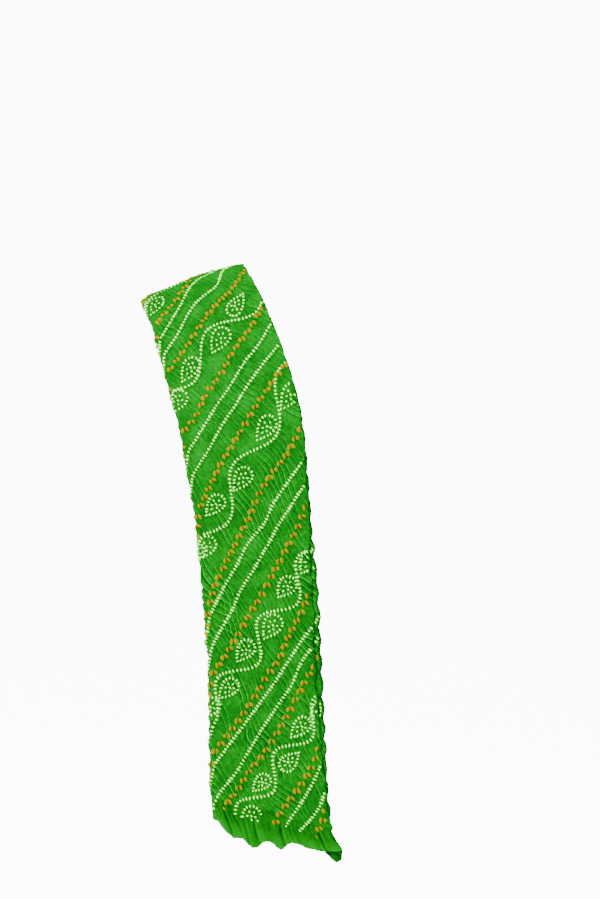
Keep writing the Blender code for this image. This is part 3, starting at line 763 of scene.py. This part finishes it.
CLOTH_WALL = 0.7
ROW_STEP = 1.25
FRONT_LEAF_COLUMNS = 132
FOLD_COLUMNS = 8
REAR_LEAF_COLUMNS = 20
INSIDE_EVERY = 6
SCALLOP_LENGTH = 26.0
SCALLOP_DEPTH = 3.2
SCALLOP_FROM = 170.0      # the lobes are shallow up to here and full this much further on
SCALLOP_FADE = 160.0
EDGE_RIPPLE = 0.7         # how far the neck-side edges waver in short ripples and in long ones
EDGE_STRAY = 1.6
SHOULDER_HALF = 95.0      # about where the shoulder stretch ends each way
BODY = "root"


def scallop(along):
    """How far the neck-side edge is pulled in between its lobes, which fade to the shoulder."""
    grown = 0.2 + 0.8 * ease((np.abs(along) - SCALLOP_FROM) / SCALLOP_FADE)
    lobe = np.abs(np.sin(math.pi * (along + 6 * drift(along / 43, along * 0, 23)) / SCALLOP_LENGTH))
    return SCALLOP_DEPTH * grown * (1 - lobe ** 0.8)


def leaf_edges(along):
    """How far across the outer cloth's front and rear edges are."""
    half = half_width(along)
    front = half - peek(along) - 0.5 * scallop(along + 11) + EDGE_RIPPLE * drift(along / 3.3, along * 0, 21)
    front = front + EDGE_STRAY * drift(along / 19, along * 0, 24) * ease((np.abs(along) - 200) / 120)
    rear = half - scallop(along) + EDGE_RIPPLE * drift(along / 3.1, along * 0, 22)
    return front, rear


def reach_at(column, along):
    """The reach of a column: 0 to 1 is the front leaf, 1 to 2 the fold, 2 to 3 the rear leaf."""
    front, rear = leaf_edges(along)
    centre = FOLD_RADIUS - half_width(along)
    on_front = FOLD_REACH + (front - centre) * (1 - column)
    on_fold = FOLD_REACH * (3 - 2 * column)
    on_rear = -FOLD_REACH - (rear - centre) * (column - 2)
    return np.where(column <= 1, on_front, np.where(column < 2, on_fold, on_rear))


def settle(rows, columns):
    """The along and reach of each column on each slanted row."""
    row, column = np.meshgrid(rows, columns, indexing="ij")
    along = row
    for _ in range(4):
        reach = reach_at(column, along)
        across = unfold(along, reach)[0]
        along = row + slant_at(row) * across
    return along, reach_at(column, along)


def strip(first, second, first_at, second_at):
    """Faces between two lines of points, matched by where each point is."""
    faces = []
    i = 0
    j = 0
    while i < len(first) - 1 or j < len(second) - 1:
        next_first = first_at[i + 1] if i < len(first) - 1 else math.inf
        next_second = second_at[j + 1] if j < len(second) - 1 else math.inf
        if next_first <= next_second:
            faces.append((first[i], first[i + 1], second[j]))
            i += 1
        else:
            faces.append((first[i], second[j + 1], second[j]))
            j += 1
    return faces


def grid_faces(index, flip=False):
    """Four-cornered faces over a grid of point numbers."""
    quads = np.stack([index[:-1, :-1], index[:-1, 1:], index[1:, 1:], index[1:, :-1]], axis=-1)
    quads = quads.reshape(-1, 4)
    return (quads[:, ::-1] if flip else quads).tolist()


def make_piece(name, points, faces, material, flat_faces=0, **attributes):
    """One object from points and faces, whose last faces may be flat-shaded."""
    data = bpy.data.meshes.new(name)
    data.from_pydata(points.tolist(), [], faces)
    smooth = np.ones(len(faces), bool)
    smooth[len(faces) - flat_faces:] = False
    data.polygons.foreach_set("use_smooth", smooth)
    for key, values in attributes.items():
        layer = data.attributes.new(key, "FLOAT", "POINT")
        layer.data.foreach_set("value", np.asarray(values, np.float32).ravel())
    data.materials.append(material)
    piece = bpy.data.objects.new(name, data)
    bpy.context.scene.collection.objects.link(piece)
    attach(piece, BODY)
    return piece


def shell(name, outer, inner, rows_at, inner_rows_at, columns_at, inner_columns_at, material,
          **attributes):
    """A closed thin cloth from a fine outer face and a plainer inner one."""
    outer_count = outer.shape[0] * outer.shape[1]
    a = np.arange(outer_count).reshape(outer.shape[:2])
    b = outer_count + np.arange(inner.shape[0] * inner.shape[1]).reshape(inner.shape[:2])
    faces = grid_faces(a) + grid_faces(b, flip=True)
    rims = strip(a[-1], b[-1], columns_at, inner_columns_at)
    rims += strip(a[:, 0], b[:, 0], rows_at, inner_rows_at)
    backward = strip(a[0], b[0], columns_at, inner_columns_at)
    backward += strip(a[:, -1], b[:, -1], rows_at, inner_rows_at)
    rims += [face[::-1] for face in backward]
    points = np.concatenate([outer.reshape(-1, 3), inner.reshape(-1, 3)])
    padded = {key: np.concatenate([np.ravel(values), np.zeros(b.size)]) for key, values in attributes.items()}
    return make_piece(name, points, faces + rims, material, len(rims), **padded)


# Crinkled cotton voile, tie-dyed green. Light scatters in its fibres, so it is quite matt. The dye lies
# unevenly in blotches. Its crests are painted paler as a highlight, and it is paler along the puckers. Its
# folds and the cloth beside the ties are painted darker as shade.
GREEN = "00530e"
# The pale green serves the paler dye blotches, the painted highlight on crests and the paler puckers. The
# dark green is painted shade.
GREEN_PALE = "008c16"
GREEN_DARK = "002806"
DYE_BLOTCH_MM = 26.0
DYE_GRAIN_MM = 3.2
CREPE_MM = 1.9            # real crepe grain is 0.4 mm, drawn coarser so that it shows


def cotton(name, base, pale, dark):
    """Dyed crinkled cotton with random blotches, a painted highlight and painted shade where the mesh says
    so, and a fine crepe grain.
    """
    material, tree, shader = new_material(name)
    place = add_node(tree, "ShaderNodeTexCoord").outputs["Object"]
    blotch = add_node(tree, "ShaderNodeTexNoise", {"Scale": 1000 / DYE_BLOTCH_MM, "Detail": 2.0},
                      {"Vector": place})
    grain = add_node(tree, "ShaderNodeTexNoise", {"Scale": 1000 / DYE_GRAIN_MM, "Detail": 2.0},
                     {"Vector": place})
    on_crest = add_node(tree, "ShaderNodeAttribute", {"attribute_name": "pale"})
    shade_attribute = add_node(tree, "ShaderNodeAttribute", {"attribute_name": "dark"})
    patch = add_node(tree, "ShaderNodeMapRange", {"From Min": 0.4, "From Max": 0.68, "To Min": 0.0,
                     "To Max": 0.3}, {"Value": blotch.outputs["Fac"]})
    blotched = add_node(tree, "ShaderNodeMix", {"data_type": "RGBA", 6: linear(base), 7: linear(pale)},
                        {0: patch.outputs[0]})
    # Painted shade where the mesh's dark attribute says.
    fold = add_node(tree, "ShaderNodeMapRange", {"From Min": 0.05, "From Max": 0.85, "To Min": 0.0,
                    "To Max": 0.85}, {"Value": shade_attribute.outputs["Fac"]})
    folded = add_node(tree, "ShaderNodeMix", {"data_type": "RGBA", 7: linear(dark)},
                      {0: fold.outputs[0], 6: blotched.outputs[2]})
    # Paler where the mesh's pale attribute says: the painted highlight on crests, and along the puckers.
    high = add_node(tree, "ShaderNodeMapRange", {"From Min": 0.25, "From Max": 0.9, "To Min": 0.0,
                    "To Max": 0.95}, {"Value": on_crest.outputs["Fac"]})
    paled = add_node(tree, "ShaderNodeMix", {"data_type": "RGBA", 7: linear(pale)},
                    {0: high.outputs[0], 6: folded.outputs[2]})
    speck = add_node(tree, "ShaderNodeMapRange", {"From Min": 0.3, "From Max": 0.7, "To Min": 0.78,
                     "To Max": 1.22}, {"Value": grain.outputs["Fac"]})
    tint = add_node(tree, "ShaderNodeMix", {"data_type": "RGBA", "blend_type": "MULTIPLY", 0: 1.0},
                    {6: paled.outputs[2], 7: speck.outputs[0]})
    tree.links.new(tint.outputs[2], shader.inputs["Base Color"])
    crepe = add_node(tree, "ShaderNodeTexNoise", {"Scale": 1000 / CREPE_MM, "Detail": 1.0},
                     {"Vector": place})
    bump = add_node(tree, "ShaderNodeBump", {"Strength": 0.6, "Distance": 0.0006},
                    {"Height": crepe.outputs["Fac"]})
    tree.links.new(bump.outputs[0], shader.inputs["Normal"])
    shader.inputs["Roughness"].default_value = 0.7
    shader.inputs["IOR"].default_value = 1.45
    shader.inputs["Specular IOR Level"].default_value = 0.0
    return material


outer_cotton = cotton("bandhani_crinkled_cotton", GREEN, GREEN_PALE, GREEN_DARK)

columns = np.concatenate([
    np.linspace(0, 1, FRONT_LEAF_COLUMNS + 1),
    1 + np.linspace(0, 1, FOLD_COLUMNS + 1)[1:],
    2 + np.linspace(0, 1, REAR_LEAF_COLUMNS + 1)[1:],
])
inner_columns = np.concatenate([
    np.linspace(0, 1, FRONT_LEAF_COLUMNS // 3 + 1),
    1 + np.linspace(0, 1, FOLD_COLUMNS // 2 + 1)[1:],
    2 + np.linspace(0, 1, REAR_LEAF_COLUMNS // 3 + 1)[1:],
])
back_seam = float(trough_rows[np.argmin(np.abs(trough_rows + SHOULDER_HALF))])
front_seam = float(trough_rows[np.argmin(np.abs(trough_rows - SHOULDER_HALF))])
stretches = [
    {"name": "front_fall", "start": front_seam, "end": FRONT_BORDER},
    {"name": "shoulder", "start": back_seam, "end": front_seam},
    {"name": "back_fall", "start": BACK_BORDER, "end": back_seam},
]
for stretch in stretches:
    span = stretch["end"] - stretch["start"]
    rows = np.linspace(stretch["start"], stretch["end"], int(span / ROW_STEP) + 1)
    inner_rows = np.linspace(stretch["start"], stretch["end"], int(span / ROW_STEP / INSIDE_EVERY) + 1)
    along, reach = settle(rows, columns)
    lift, pale, dark = relief(along, reach, np.repeat(rows[:, None], len(columns), axis=1))
    inner_along, inner_reach = settle(inner_rows, inner_columns)
    piece = shell(stretch["name"] + "_cloth",
                  cloth_points(along, reach, lift),
                  cloth_points(inner_along, inner_reach, np.full(inner_along.shape, -CLOTH_WALL)),
                  rows, inner_rows, columns, inner_columns, outer_cotton, pale=pale, dark=dark)
    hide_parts(stretch["name"] + "_outer")

# ---------------------------------------------------------------- the tied points
# Where the thread was bound, no dye came: each point is a raised fleck, pale with a green rim.
# The orange ones stand in pairs, and have a red-brown speck where the binding let dye in.

WHITE_SIZE = (2.35, 2.15)  # half a white fleck's length, square to its row, and half its breadth
ORANGE_SIZE = (3.5, 3.15)
BROWN_SIZE = (1.7, 0.8)
FLECK_SIDES = 8
FLECK_SQUARENESS = 1.35   # 1 is a lozenge, 2 an oval
FLECK_RAGGED = (0.78, 1.16)   # its corners lie unevenly far out
FLECK_SLENDER = (0.9, 1.22)   # how much longer and narrower it may be
SLIMMER_BELOW = 0.2           # and how much more so on the falls, where the cloth is drawn in more
SLIMMER_FROM = 60             # this starts here and is full this much further on
SLIMMER_FADE = 360
# Rings of a fleck from its edge inwards: share of its size, and height in millimetres.
WHITE_RINGS = [(1.0, -0.2), (0.85, 0.15), (0.5, 0.55), (0.0, 0.75)]
ORANGE_RINGS = [(1.0, -0.2), (0.86, 0.4), (0.55, 0.8), (0.22, 0.72), (0.0, 0.55)]
BROWN_RINGS = [(1.0, 0.3), (0.7, 0.75), (0.0, 0.9)]


def on_leaf(along, reach, height):
    """Points at a height above the crinkled outer cloth."""
    return cloth_points(along, reach, relief(along, reach)[0] + height)


def flecks(name, tied, rings, half_size, material, place=on_leaf):
    """One mesh of raised flecks that lie on the cloth."""
    along, reach, size, turn = tied.T
    x = np.cos(turn)
    y = np.sin(turn)
    ragged = chance.uniform(*FLECK_RAGGED, (FLECK_SIDES, len(along)))
    fallen = ease((np.abs(along) - SLIMMER_FROM) / SLIMMER_FADE)
    slender = chance.uniform(*FLECK_SLENDER, len(along)) * (1 + SLIMMER_BELOW * fallen)
    points = []
    rims = []
    for share, height in rings:
        count = FLECK_SIDES if share > 0 else 1
        for k in range(count):
            angle = 2 * math.pi * k / FLECK_SIDES
            c = math.cos(angle)
            s = math.sin(angle)
            even = (abs(c) ** FLECK_SQUARENESS + abs(s) ** FLECK_SQUARENESS) ** (-1 / FLECK_SQUARENESS)
            far = half_size[0] * size * share * c * even * ragged[k] * slender
            near = half_size[1] * size * share * s * even * ragged[k] / slender
            points.append(place(along + far * y + near * x, reach + far * x - near * y, height))
            rims.append(np.full(len(along), share))
    points = np.stack(points, axis=1)
    per_fleck = points.shape[1]
    pattern = []
    for ring in range(len(rings) - 1):
        base = ring * FLECK_SIDES
        for k in range(FLECK_SIDES):
            after = (k + 1) % FLECK_SIDES
            if rings[ring + 1][0] > 0:
                pattern.append((base + k, base + after, base + FLECK_SIDES + after, base + FLECK_SIDES + k))
            else:
                pattern.append((base + k, base + after, base + FLECK_SIDES))
    faces = []
    for i in range(len(along)):
        for face in pattern:
            face = tuple(i * per_fleck + corner for corner in face)
            faces.append(face[::-1])
    return make_piece(name, points.reshape(-1, 3), faces, material, rim=np.stack(rims, axis=1))


# Cotton at a tied point: undyed, orange or brown where the thread held, and green where the last
# dye crept in under it. It is as matt as the cloth.
def tied_cotton(name, stops):
    """Cotton coloured from a fleck's middle to its rim, by stops of place and colour."""
    material, tree, shader = new_material(name)
    rim = add_node(tree, "ShaderNodeAttribute", {"attribute_name": "rim"})
    place = add_node(tree, "ShaderNodeTexCoord").outputs["Object"]
    creep = add_node(tree, "ShaderNodeTexNoise", {"Scale": 1000 / DYE_GRAIN_MM, "Detail": 2.0},
                     {"Vector": place})
    shifted = add_node(tree, "ShaderNodeMath", {"operation": "MULTIPLY_ADD", 1: 0.5, 2: -0.25},
                       {0: creep.outputs["Fac"]})
    edge = add_node(tree, "ShaderNodeMath", {"operation": "ADD"},
                    {0: rim.outputs["Fac"], 1: shifted.outputs[0]})
    ramp = add_node(tree, "ShaderNodeValToRGB", None, {"Fac": edge.outputs[0]})
    ramp.color_ramp.elements[0].position = stops[0][0]
    ramp.color_ramp.elements[0].color = linear(stops[0][1])
    ramp.color_ramp.elements[1].position = stops[-1][0]
    ramp.color_ramp.elements[1].color = linear(stops[-1][1])
    for position, colour in stops[1:-1]:
        ramp.color_ramp.elements.new(position).color = linear(colour)
    tree.links.new(ramp.outputs["Color"], shader.inputs["Base Color"])
    shader.inputs["Roughness"].default_value = 0.7
    shader.inputs["Specular IOR Level"].default_value = 0.0
    return material


white_cotton = tied_cotton("undyed_cotton", [
    (0.0, "bcff80"), (0.55, "90f64c"), (0.8, "4cac20"), (1.0, "187010")])
orange_cotton = tied_cotton("orange_dyed_cotton", [
    (0.0, "845600"), (0.35, "7e6100"), (0.6, "766c00"), (0.82, "547400"), (1.0, "1e6000")])
brown_cotton = tied_cotton("brown_dyed_cotton", [
    (0.0, "3a1200"), (0.7, "4a1c00"), (0.95, "6a3c00"), (1.0, "5c5400")])
# Each dye's flecks: their rings, half their size and their cotton.
DYES = [
    {"dye": "white", "rings": WHITE_RINGS, "size": WHITE_SIZE, "cotton": white_cotton},
    {"dye": "orange", "rings": ORANGE_RINGS, "size": ORANGE_SIZE, "cotton": orange_cotton},
    {"dye": "brown", "rings": BROWN_RINGS, "size": BROWN_SIZE, "cotton": brown_cotton},
]

dot_pieces = {}
for stretch in stretches:
    dot_pieces[stretch["name"]] = []
    for kind in DYES:
        tied = ties[kind["dye"]]
        front, rear = leaf_edges(tied[:, 0])
        centre = FOLD_RADIUS - half_width(tied[:, 0])
        rows = row_of(tied[:, 0], unfold(tied[:, 0], tied[:, 1])[0])
        inside = tied[:, 1] < front - centre + FOLD_REACH - EDGE_MARGIN
        inside &= tied[:, 1] > -(rear - centre + FOLD_REACH - EDGE_MARGIN)
        reaches = stretch["end"] + (BORDER_TIES if stretch["end"] == FRONT_BORDER else 0.0)
        inside &= (rows >= stretch["start"]) & (rows < reaches)
        inside &= rows > BACK_BORDER + BORDER_MARGIN
        piece = flecks(stretch["name"] + "_" + kind["dye"] + "_ties", tied[inside], kind["rings"],
                       kind["size"], kind["cotton"])
        dot_pieces[stretch["name"]].append(piece)

# ---------------------------------------------------------------- the layers inside the fold
# Two more leaves of the same cloth lie between the outer ones, folded on the arm side too.
# They show only as a scalloped second edge on the neck side, in shadow behind the top leaf.

LEAF_THICKNESS = 1.2      # the room that one crinkled leaf takes up
LAYER_GAP = 0.42
HIDDEN_THICKNESS = BAND_THICKNESS - 2 * LEAF_THICKNESS - 2 * LAYER_GAP
HIDDEN_FRONT_INSET = 1.6
HIDDEN_BACK_INSET = 1.2
HIDDEN_FRONT_ROUND = 1.5  # the front edge is rounded over this width
HIDDEN_ROW_STEP = 1.5
HIDDEN_COLUMNS = 24
EDGE_COLUMNS = [3.03, 3.06, 3.1, 3.16, 3.24, 3.32, 3.4, 3.5, 3.75]
CREASED_EDGE = (3.04, 3.45)  # the creases are in these columns alone, since only they show
HIDDEN_PUCKER = 0.8
HIDDEN_REACH = 60.0       # its creases take their reach from here, a little off the top leaf's
EDGE_TIES_FROM = 230.0    # these layers show from here down, and their ties with them
EDGE_TIES_MARGIN = 1.0
EDGE_CURL = 1.6           # the second edge curls up towards the top leaf's height


def hidden_edges(along):
    """How far across the hidden layers' front and back edges are."""
    half = half_width(along)
    front = half - peek(along) - 0.5 * scallop(along) - HIDDEN_FRONT_INSET
    back = half - scallop(along) - HIDDEN_BACK_INSET + EDGE_RIPPLE * drift(along / 3.1, along * 0, 22)
    return front, back


def edge_height(inward):
    """The height of the slope between the two edges, from 0 at the back one to 1 at the front."""
    thick = HIDDEN_THICKNESS / 2
    return -thick + (thick + EDGE_CURL * (1 - inward)) * np.sin(np.pi / 2 * np.clip(inward * 6, 0, 1))


def hidden_ring(along, column):
    """Across and height on the hidden layers' outline.

    From 0 to 1 is the front face, 1 to 2 the fold, 2 to 3 the rear face, 3 to 4 the edges.
    """
    thick = HIDDEN_THICKNESS / 2
    front, back = hidden_edges(along)
    centre = FOLD_RADIUS - half_width(along)
    angle = math.pi * (column - 0.5)
    inward = np.clip((column - 3) * 2, 0, 1)
    outward = np.clip((column - 3.5) * 2, 0, 1)
    across = np.select(
        [column <= 1, column < 2, column <= 3, column <= 3.5],
        [front + (centre - front) * column, centre + thick * np.cos(angle),
         centre + (back - centre) * (column - 2), back + (front - HIDDEN_FRONT_ROUND - back) * inward],
        front - HIDDEN_FRONT_ROUND + HIDDEN_FRONT_ROUND * outward)
    height = np.select(
        [column <= 1, column < 2, column <= 3, column <= 3.5],
        [thick + 0 * along, thick * np.sin(angle), -thick + 0 * along, edge_height(inward)],
        thick * outward)
    return across, height


def on_edge(along, reach, height):
    """Points at a height above the layers that show past the top leaf."""
    across = unfold(along, reach)[0]
    front, back = hidden_edges(along)
    inward = np.clip((back - across) / (back - front + HIDDEN_FRONT_ROUND), 0, 1)
    lift = crinkle(row_of(along, across), along, across + HIDDEN_REACH)[0]
    return band_points(along, across, edge_height(inward) + HIDDEN_PUCKER * lift + height)


# The same dyed cotton as outside. It looks darker only because the top leaf shades it.
hidden_cotton = cotton("shaded_crinkled_cotton", GREEN, GREEN_PALE, GREEN_DARK)
hidden_columns = np.concatenate([
    np.linspace(0, 1, HIDDEN_COLUMNS + 1),
    np.linspace(1, 2, 5)[1:],
    np.linspace(2, 3, HIDDEN_COLUMNS + 1)[1:],
    EDGE_COLUMNS,
])
for stretch in stretches:
    span = stretch["end"] - stretch["start"]
    rows = np.linspace(stretch["start"], stretch["end"], int(span / HIDDEN_ROW_STEP) + 1)
    row, column = np.meshgrid(rows, hidden_columns, indexing="ij")
    along = row
    for _ in range(4):
        along = row + slant_at(row) * hidden_ring(along, column)[0]
    across, height = hidden_ring(along, column)
    lift, pale, dark = crinkle(row, along, across + HIDDEN_REACH)
    shows = np.where((column > CREASED_EDGE[0]) & (column < CREASED_EDGE[1]), 1.0, 0.0)
    points = band_points(along, across, height + HIDDEN_PUCKER * shows * lift)
    index = np.arange(row.size).reshape(row.shape)
    looped = np.concatenate([index, index[:, :1]], axis=1)
    ends = [tuple(index[0].tolist())[::-1], tuple(index[-1].tolist())]
    piece = make_piece(stretch["name"] + "_inner_layers", points.reshape(-1, 3),
                       grid_faces(looped) + ends, hidden_cotton, 2, pale=pale, dark=dark)
    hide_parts(stretch["name"] + "_hidden_layers")

# The rows of ties run on over these layers where they show.
for kind in DYES[:2]:
    tied = ties[kind["dye"]]
    across = unfold(tied[:, 0], tied[:, 1])[0]
    shows = (tied[:, 1] > 0) & (tied[:, 0] > EDGE_TIES_FROM) & (row_of(tied[:, 0], across) < FRONT_BORDER)
    shows &= across > leaf_edges(tied[:, 0])[0] + EDGE_TIES_MARGIN
    shows &= across < hidden_edges(tied[:, 0])[1] - EDGE_TIES_MARGIN
    piece = flecks("front_edge_" + kind["dye"] + "_ties", tied[shows], kind["rings"], kind["size"],
                   kind["cotton"], on_edge)

# ---------------------------------------------------------------- the gathered borders
# Below the last tied points the cloth was never bound, so it flares in gathers to a raw hem.
# It is one layer of plain green voile, and light comes through its edge.

# How far the hem hangs below the last ties, across the band from -1 at the arm side to 1 on the
# neck side: first the outer cloth's hem, then that of the layers under it.
FRONT_HEM = [
    {"across": -1.00, "depth": 21.0},
    {"across": -0.88, "depth": 33.0},
    {"across": -0.72, "depth": 42.0},
    {"across": -0.58, "depth": 40.5},
    {"across": -0.49, "depth": 46.0},
    {"across": -0.36, "depth": 46.5},
    {"across": -0.27, "depth": 38.5},
    {"across": -0.14, "depth": 35.0},
    {"across": -0.05, "depth": 39.5},
    {"across": 0.06, "depth": 39.5},
    {"across": 0.13, "depth": 33.0},
    {"across": 0.24, "depth": 29.5},
    {"across": 0.45, "depth": 32.0},
    {"across": 0.73, "depth": 29.5},
    {"across": 0.88, "depth": 27.0},
    {"across": 1.00, "depth": 23.0},
]
UNDER_HEM = [
    {"across": -1.00, "depth": 15.0},
    {"across": -0.72, "depth": 34.0},
    {"across": -0.40, "depth": 38.0},
    {"across": 0.24, "depth": 23.0},
    {"across": 0.62, "depth": 26.0},
    {"across": 0.76, "depth": 35.5},
    {"across": 0.84, "depth": 40.0},
    {"across": 0.92, "depth": 39.5},
    {"across": 0.98, "depth": 32.0},
    {"across": 1.00, "depth": 24.0},
]
FRILL_WAVES = 7
FRILL_SWELL = 5.0         # how far the hem stands out in its waves
FRILL_SWING_ARM = 2.0     # how far the hem swings towards the neck, at its arm and neck ends
FRILL_SWING_NECK = 9.0
BACK_SWING_NECK = 0.0
FRILL_FLARE = 1.3         # above 1 it flares mostly near the hem
FRILL_LEAST_STAND = 0.24  # how far it stands out between its waves, as a share of the swell
FRILL_WALL = 0.45
FRILL_ROW_COUNT = 26
FRILL_LEAF_COLUMNS = 150
GATHER_SPACING = 14.5
GATHER_HEIGHT = 2.6
# The broad gathers, and small ones between them that end partway down.
GATHERS = [
    {"spacing": GATHER_SPACING, "height": GATHER_HEIGHT, "reach_down": 1.0},
    {"spacing": 0.43 * GATHER_SPACING, "height": 0.4 * GATHER_HEIGHT, "reach_down": 0.45},
]
HEM_RAGGEDNESS = 0.9
UNDER_FRILL_SWAY = 0.9
UNDER_FRILL_HALF = 0.6    # half its thickness
UNDER_FRILL_SHORT = 1.0   # it ends this much before the fold on the arm side
WAVE_PHASE = {"front_leaf": 0.4, "rear_leaf": 2.6}


def frill_points(end, depth, share, t, height):
    """Points of a border: "share" across from -1 to 1, "t" from the last ties to the hem."""
    half = half_width(np.array(end["border"]))
    swing = FRILL_SWING_ARM + (end["swing_neck"] - FRILL_SWING_ARM) * (share + 1) / 2
    along = end["border"] + BORDER_SLANT * share * half + end["way"] * depth * t
    edge = half - leaf_edges(along)[0]
    drawn_in = edge * np.clip(share, 0, 1) ** 3 * (1 - t) ** 2
    return band_points(along, share * half - drawn_in + swing * t * t, height)


def gathers(share, t, half, seed):
    """Broad pleats with sharp valleys that fan out from the last ties, with painted shade in the valleys and
    a painted highlight beside them.
    """
    lift = 0.0 * t
    pale = 0.0 * t
    dark = 0.0 * t
    for kind in GATHERS:
        phase = share * half / kind["spacing"] + 0.7 * drift(share * 5, t * 1.2, seed)
        pleat = np.round(phase)
        off = phase - pleat
        strength = np.clip(0.85 + 0.8 * drift(pleat * 0.71, t * 0.9, seed + 1), 0.2, 1.5)
        strength = strength * (1 - ease(t / kind["reach_down"] - 0.55))
        valley = np.exp(-(np.abs(off) / 0.12) ** 1.2)
        lift = lift + kind["height"] * strength * (1 - valley) * ease(t * 2.2)
        # Painted shade in each valley and a painted highlight beside it.
        dark = np.maximum(dark, strength * np.exp(-(off / 0.085) ** 2) * (0.35 + 0.65 * ease(t * 8)))
        pale = np.maximum(pale, 0.8 * strength * np.exp(-((off - 0.2) / 0.07) ** 2) * ease(t * 5))
    return lift, np.clip(pale, 0, 1), np.clip(dark, 0, 1)


def border_cotton(name, base, pale, dark, sheer_green):
    """The same cotton in one thin layer, brighter near its hem where light comes through."""
    material = cotton(name, base, pale, dark)
    tree = material.node_tree
    shader = tree.nodes["Principled BSDF"]
    dyed = shader.inputs["Base Color"].links[0].from_socket
    hem = add_node(tree, "ShaderNodeAttribute", {"attribute_name": "hem"})
    sheer = add_node(tree, "ShaderNodeMapRange", {"From Min": 0.5, "From Max": 1.0, "To Min": 0.0,
                     "To Max": 0.5}, {"Value": hem.outputs["Fac"]})
    lit = add_node(tree, "ShaderNodeMix", {"data_type": "RGBA", 7: linear(sheer_green)},
                   {0: sheer.outputs[0], 6: dyed})
    tree.links.new(lit.outputs[2], shader.inputs["Base Color"])
    return material


# Voile from the same bath of dye, never bound, and a copy with its colours painted darker as shade for the
# layers under the cloth above it. Each one's paler green serves paler dye and the painted highlight, and its
# darkest green the painted shade.
voile = border_cotton("plain_green_voile", "00530a", "007412", "002403", "067814")
shaded_voile = border_cotton("shaded_green_voile", "004006", "005608", "002003", "004906")
for end in ({"name": "front", "border": FRONT_BORDER, "way": 1.0, "swing_neck": FRILL_SWING_NECK},
            {"name": "back", "border": BACK_BORDER, "way": -1.0, "swing_neck": BACK_SWING_NECK}):
    border = end["border"]
    order = slice(None, None, -1 if end["way"] < 0 else 1)  # rows run from the back to the front
    half = float(half_width(np.array(border)))
    fold_at = -1 + FOLD_RADIUS / half
    leaf = np.linspace(1, fold_at, FRILL_LEAF_COLUMNS + 1)
    arc = np.linspace(0, math.pi, 7)[1:-1]
    share = np.concatenate([leaf, np.full(len(arc), fold_at), leaf[::-1]])
    side = np.concatenate([np.ones(len(leaf)), np.cos(arc), -np.ones(len(leaf))])
    bulge = np.concatenate([np.zeros(len(leaf)), np.sin(arc), np.zeros(len(leaf))])
    steps = np.linspace(0, 1, FRILL_ROW_COUNT + 1)
    hem_at = smooth_curve(FRONT_HEM, "across", "depth")
    t, shares = np.meshgrid(steps, share, indexing="ij")
    sides = np.broadcast_to(side, t.shape)
    bulges = np.broadcast_to(bulge, t.shape)
    depth = hem_at(shares) + HEM_RAGGEDNESS * drift(shares * 34, sides, 31)

    def stand(phase):
        """How far a leaf of the border stands out in its waves."""
        bent = shares + 0.035 * np.sin(5.3 * shares + phase)
        wave = 0.5 + 0.5 * np.sin(math.pi * FRILL_WAVES * bent + phase)
        return FRILL_SWELL * t ** FRILL_FLARE * (FRILL_LEAST_STAND + (1 - FRILL_LEAST_STAND) * wave)

    front_stand = stand(WAVE_PHASE["front_leaf"])
    rear_stand = stand(WAVE_PHASE["rear_leaf"])
    standing = np.where(sides > 0, front_stand, rear_stand) * np.abs(sides)
    standing += bulges * FRILL_SWELL * t ** FRILL_FLARE / 2 * (1 - np.abs(sides))
    pleat, pale, dark = gathers(shares, t, half, 41)
    flat = np.abs(sides) == 1.0
    top_along = border + BORDER_SLANT * shares * half
    top_reach = np.where(sides > 0, 1.0, -1.0) * (shares * half + half - FOLD_RADIUS + FOLD_REACH)
    top_lift, top_pale, top_dark = relief(top_along, top_reach, np.full(t.shape, border))
    settled = (1 - t) ** 2

    def face(wall):
        """Points of the border's face, moved in by the wall."""
        lift = standing + np.where(flat, pleat + top_lift * settled, 0.0) - wall
        round_it = FOLD_RADIUS + np.where(flat, 0.0, lift)
        height = np.where(flat, sides * (FOLD_RADIUS + lift), sides * round_it)
        out = np.where(flat, 0.0, -bulges * round_it)
        return frill_points(end, depth, shares + out / half, t, height)

    along_columns = np.arange(len(share))
    piece = shell(end["name"] + "_border", face(0.0)[order], face(FRILL_WALL)[order], steps, steps,
                  along_columns, along_columns, voile,
                  pale=(pale * (1 - settled) + top_pale * settled)[order],
                  dark=(dark * (1 - settled) + top_dark * settled)[order], hem=t[order])
    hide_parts(end["name"] + "_frill_outer")

    under_at = smooth_curve(UNDER_HEM, "across", "depth")
    arm_end = -1 + (FOLD_RADIUS + UNDER_FRILL_SHORT) / half
    share = np.linspace(1, arm_end, FRILL_LEAF_COLUMNS + 1)
    t, shares = np.meshgrid(steps, share, indexing="ij")
    sway = UNDER_FRILL_SWAY * t * np.sin(math.pi * FRILL_WAVES * shares)
    pleat, pale, dark = gathers(shares, t, half, 51)
    depth = under_at(shares) + HEM_RAGGEDNESS * drift(shares * 31, t * 0, 32)
    faces = [frill_points(end, depth, shares, t, sway + 0.5 * pleat + level)[order]
             for level in (UNDER_FRILL_HALF, -UNDER_FRILL_HALF)]
    along_columns = np.arange(len(share))
    under = shell(end["name"] + "_border_inner_layers", faces[0], faces[1], steps, steps,
                  along_columns, along_columns, shaded_voile, pale=pale[order], dark=dark[order],
                  hem=t[order])
    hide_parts(end["name"] + "_frill_under")
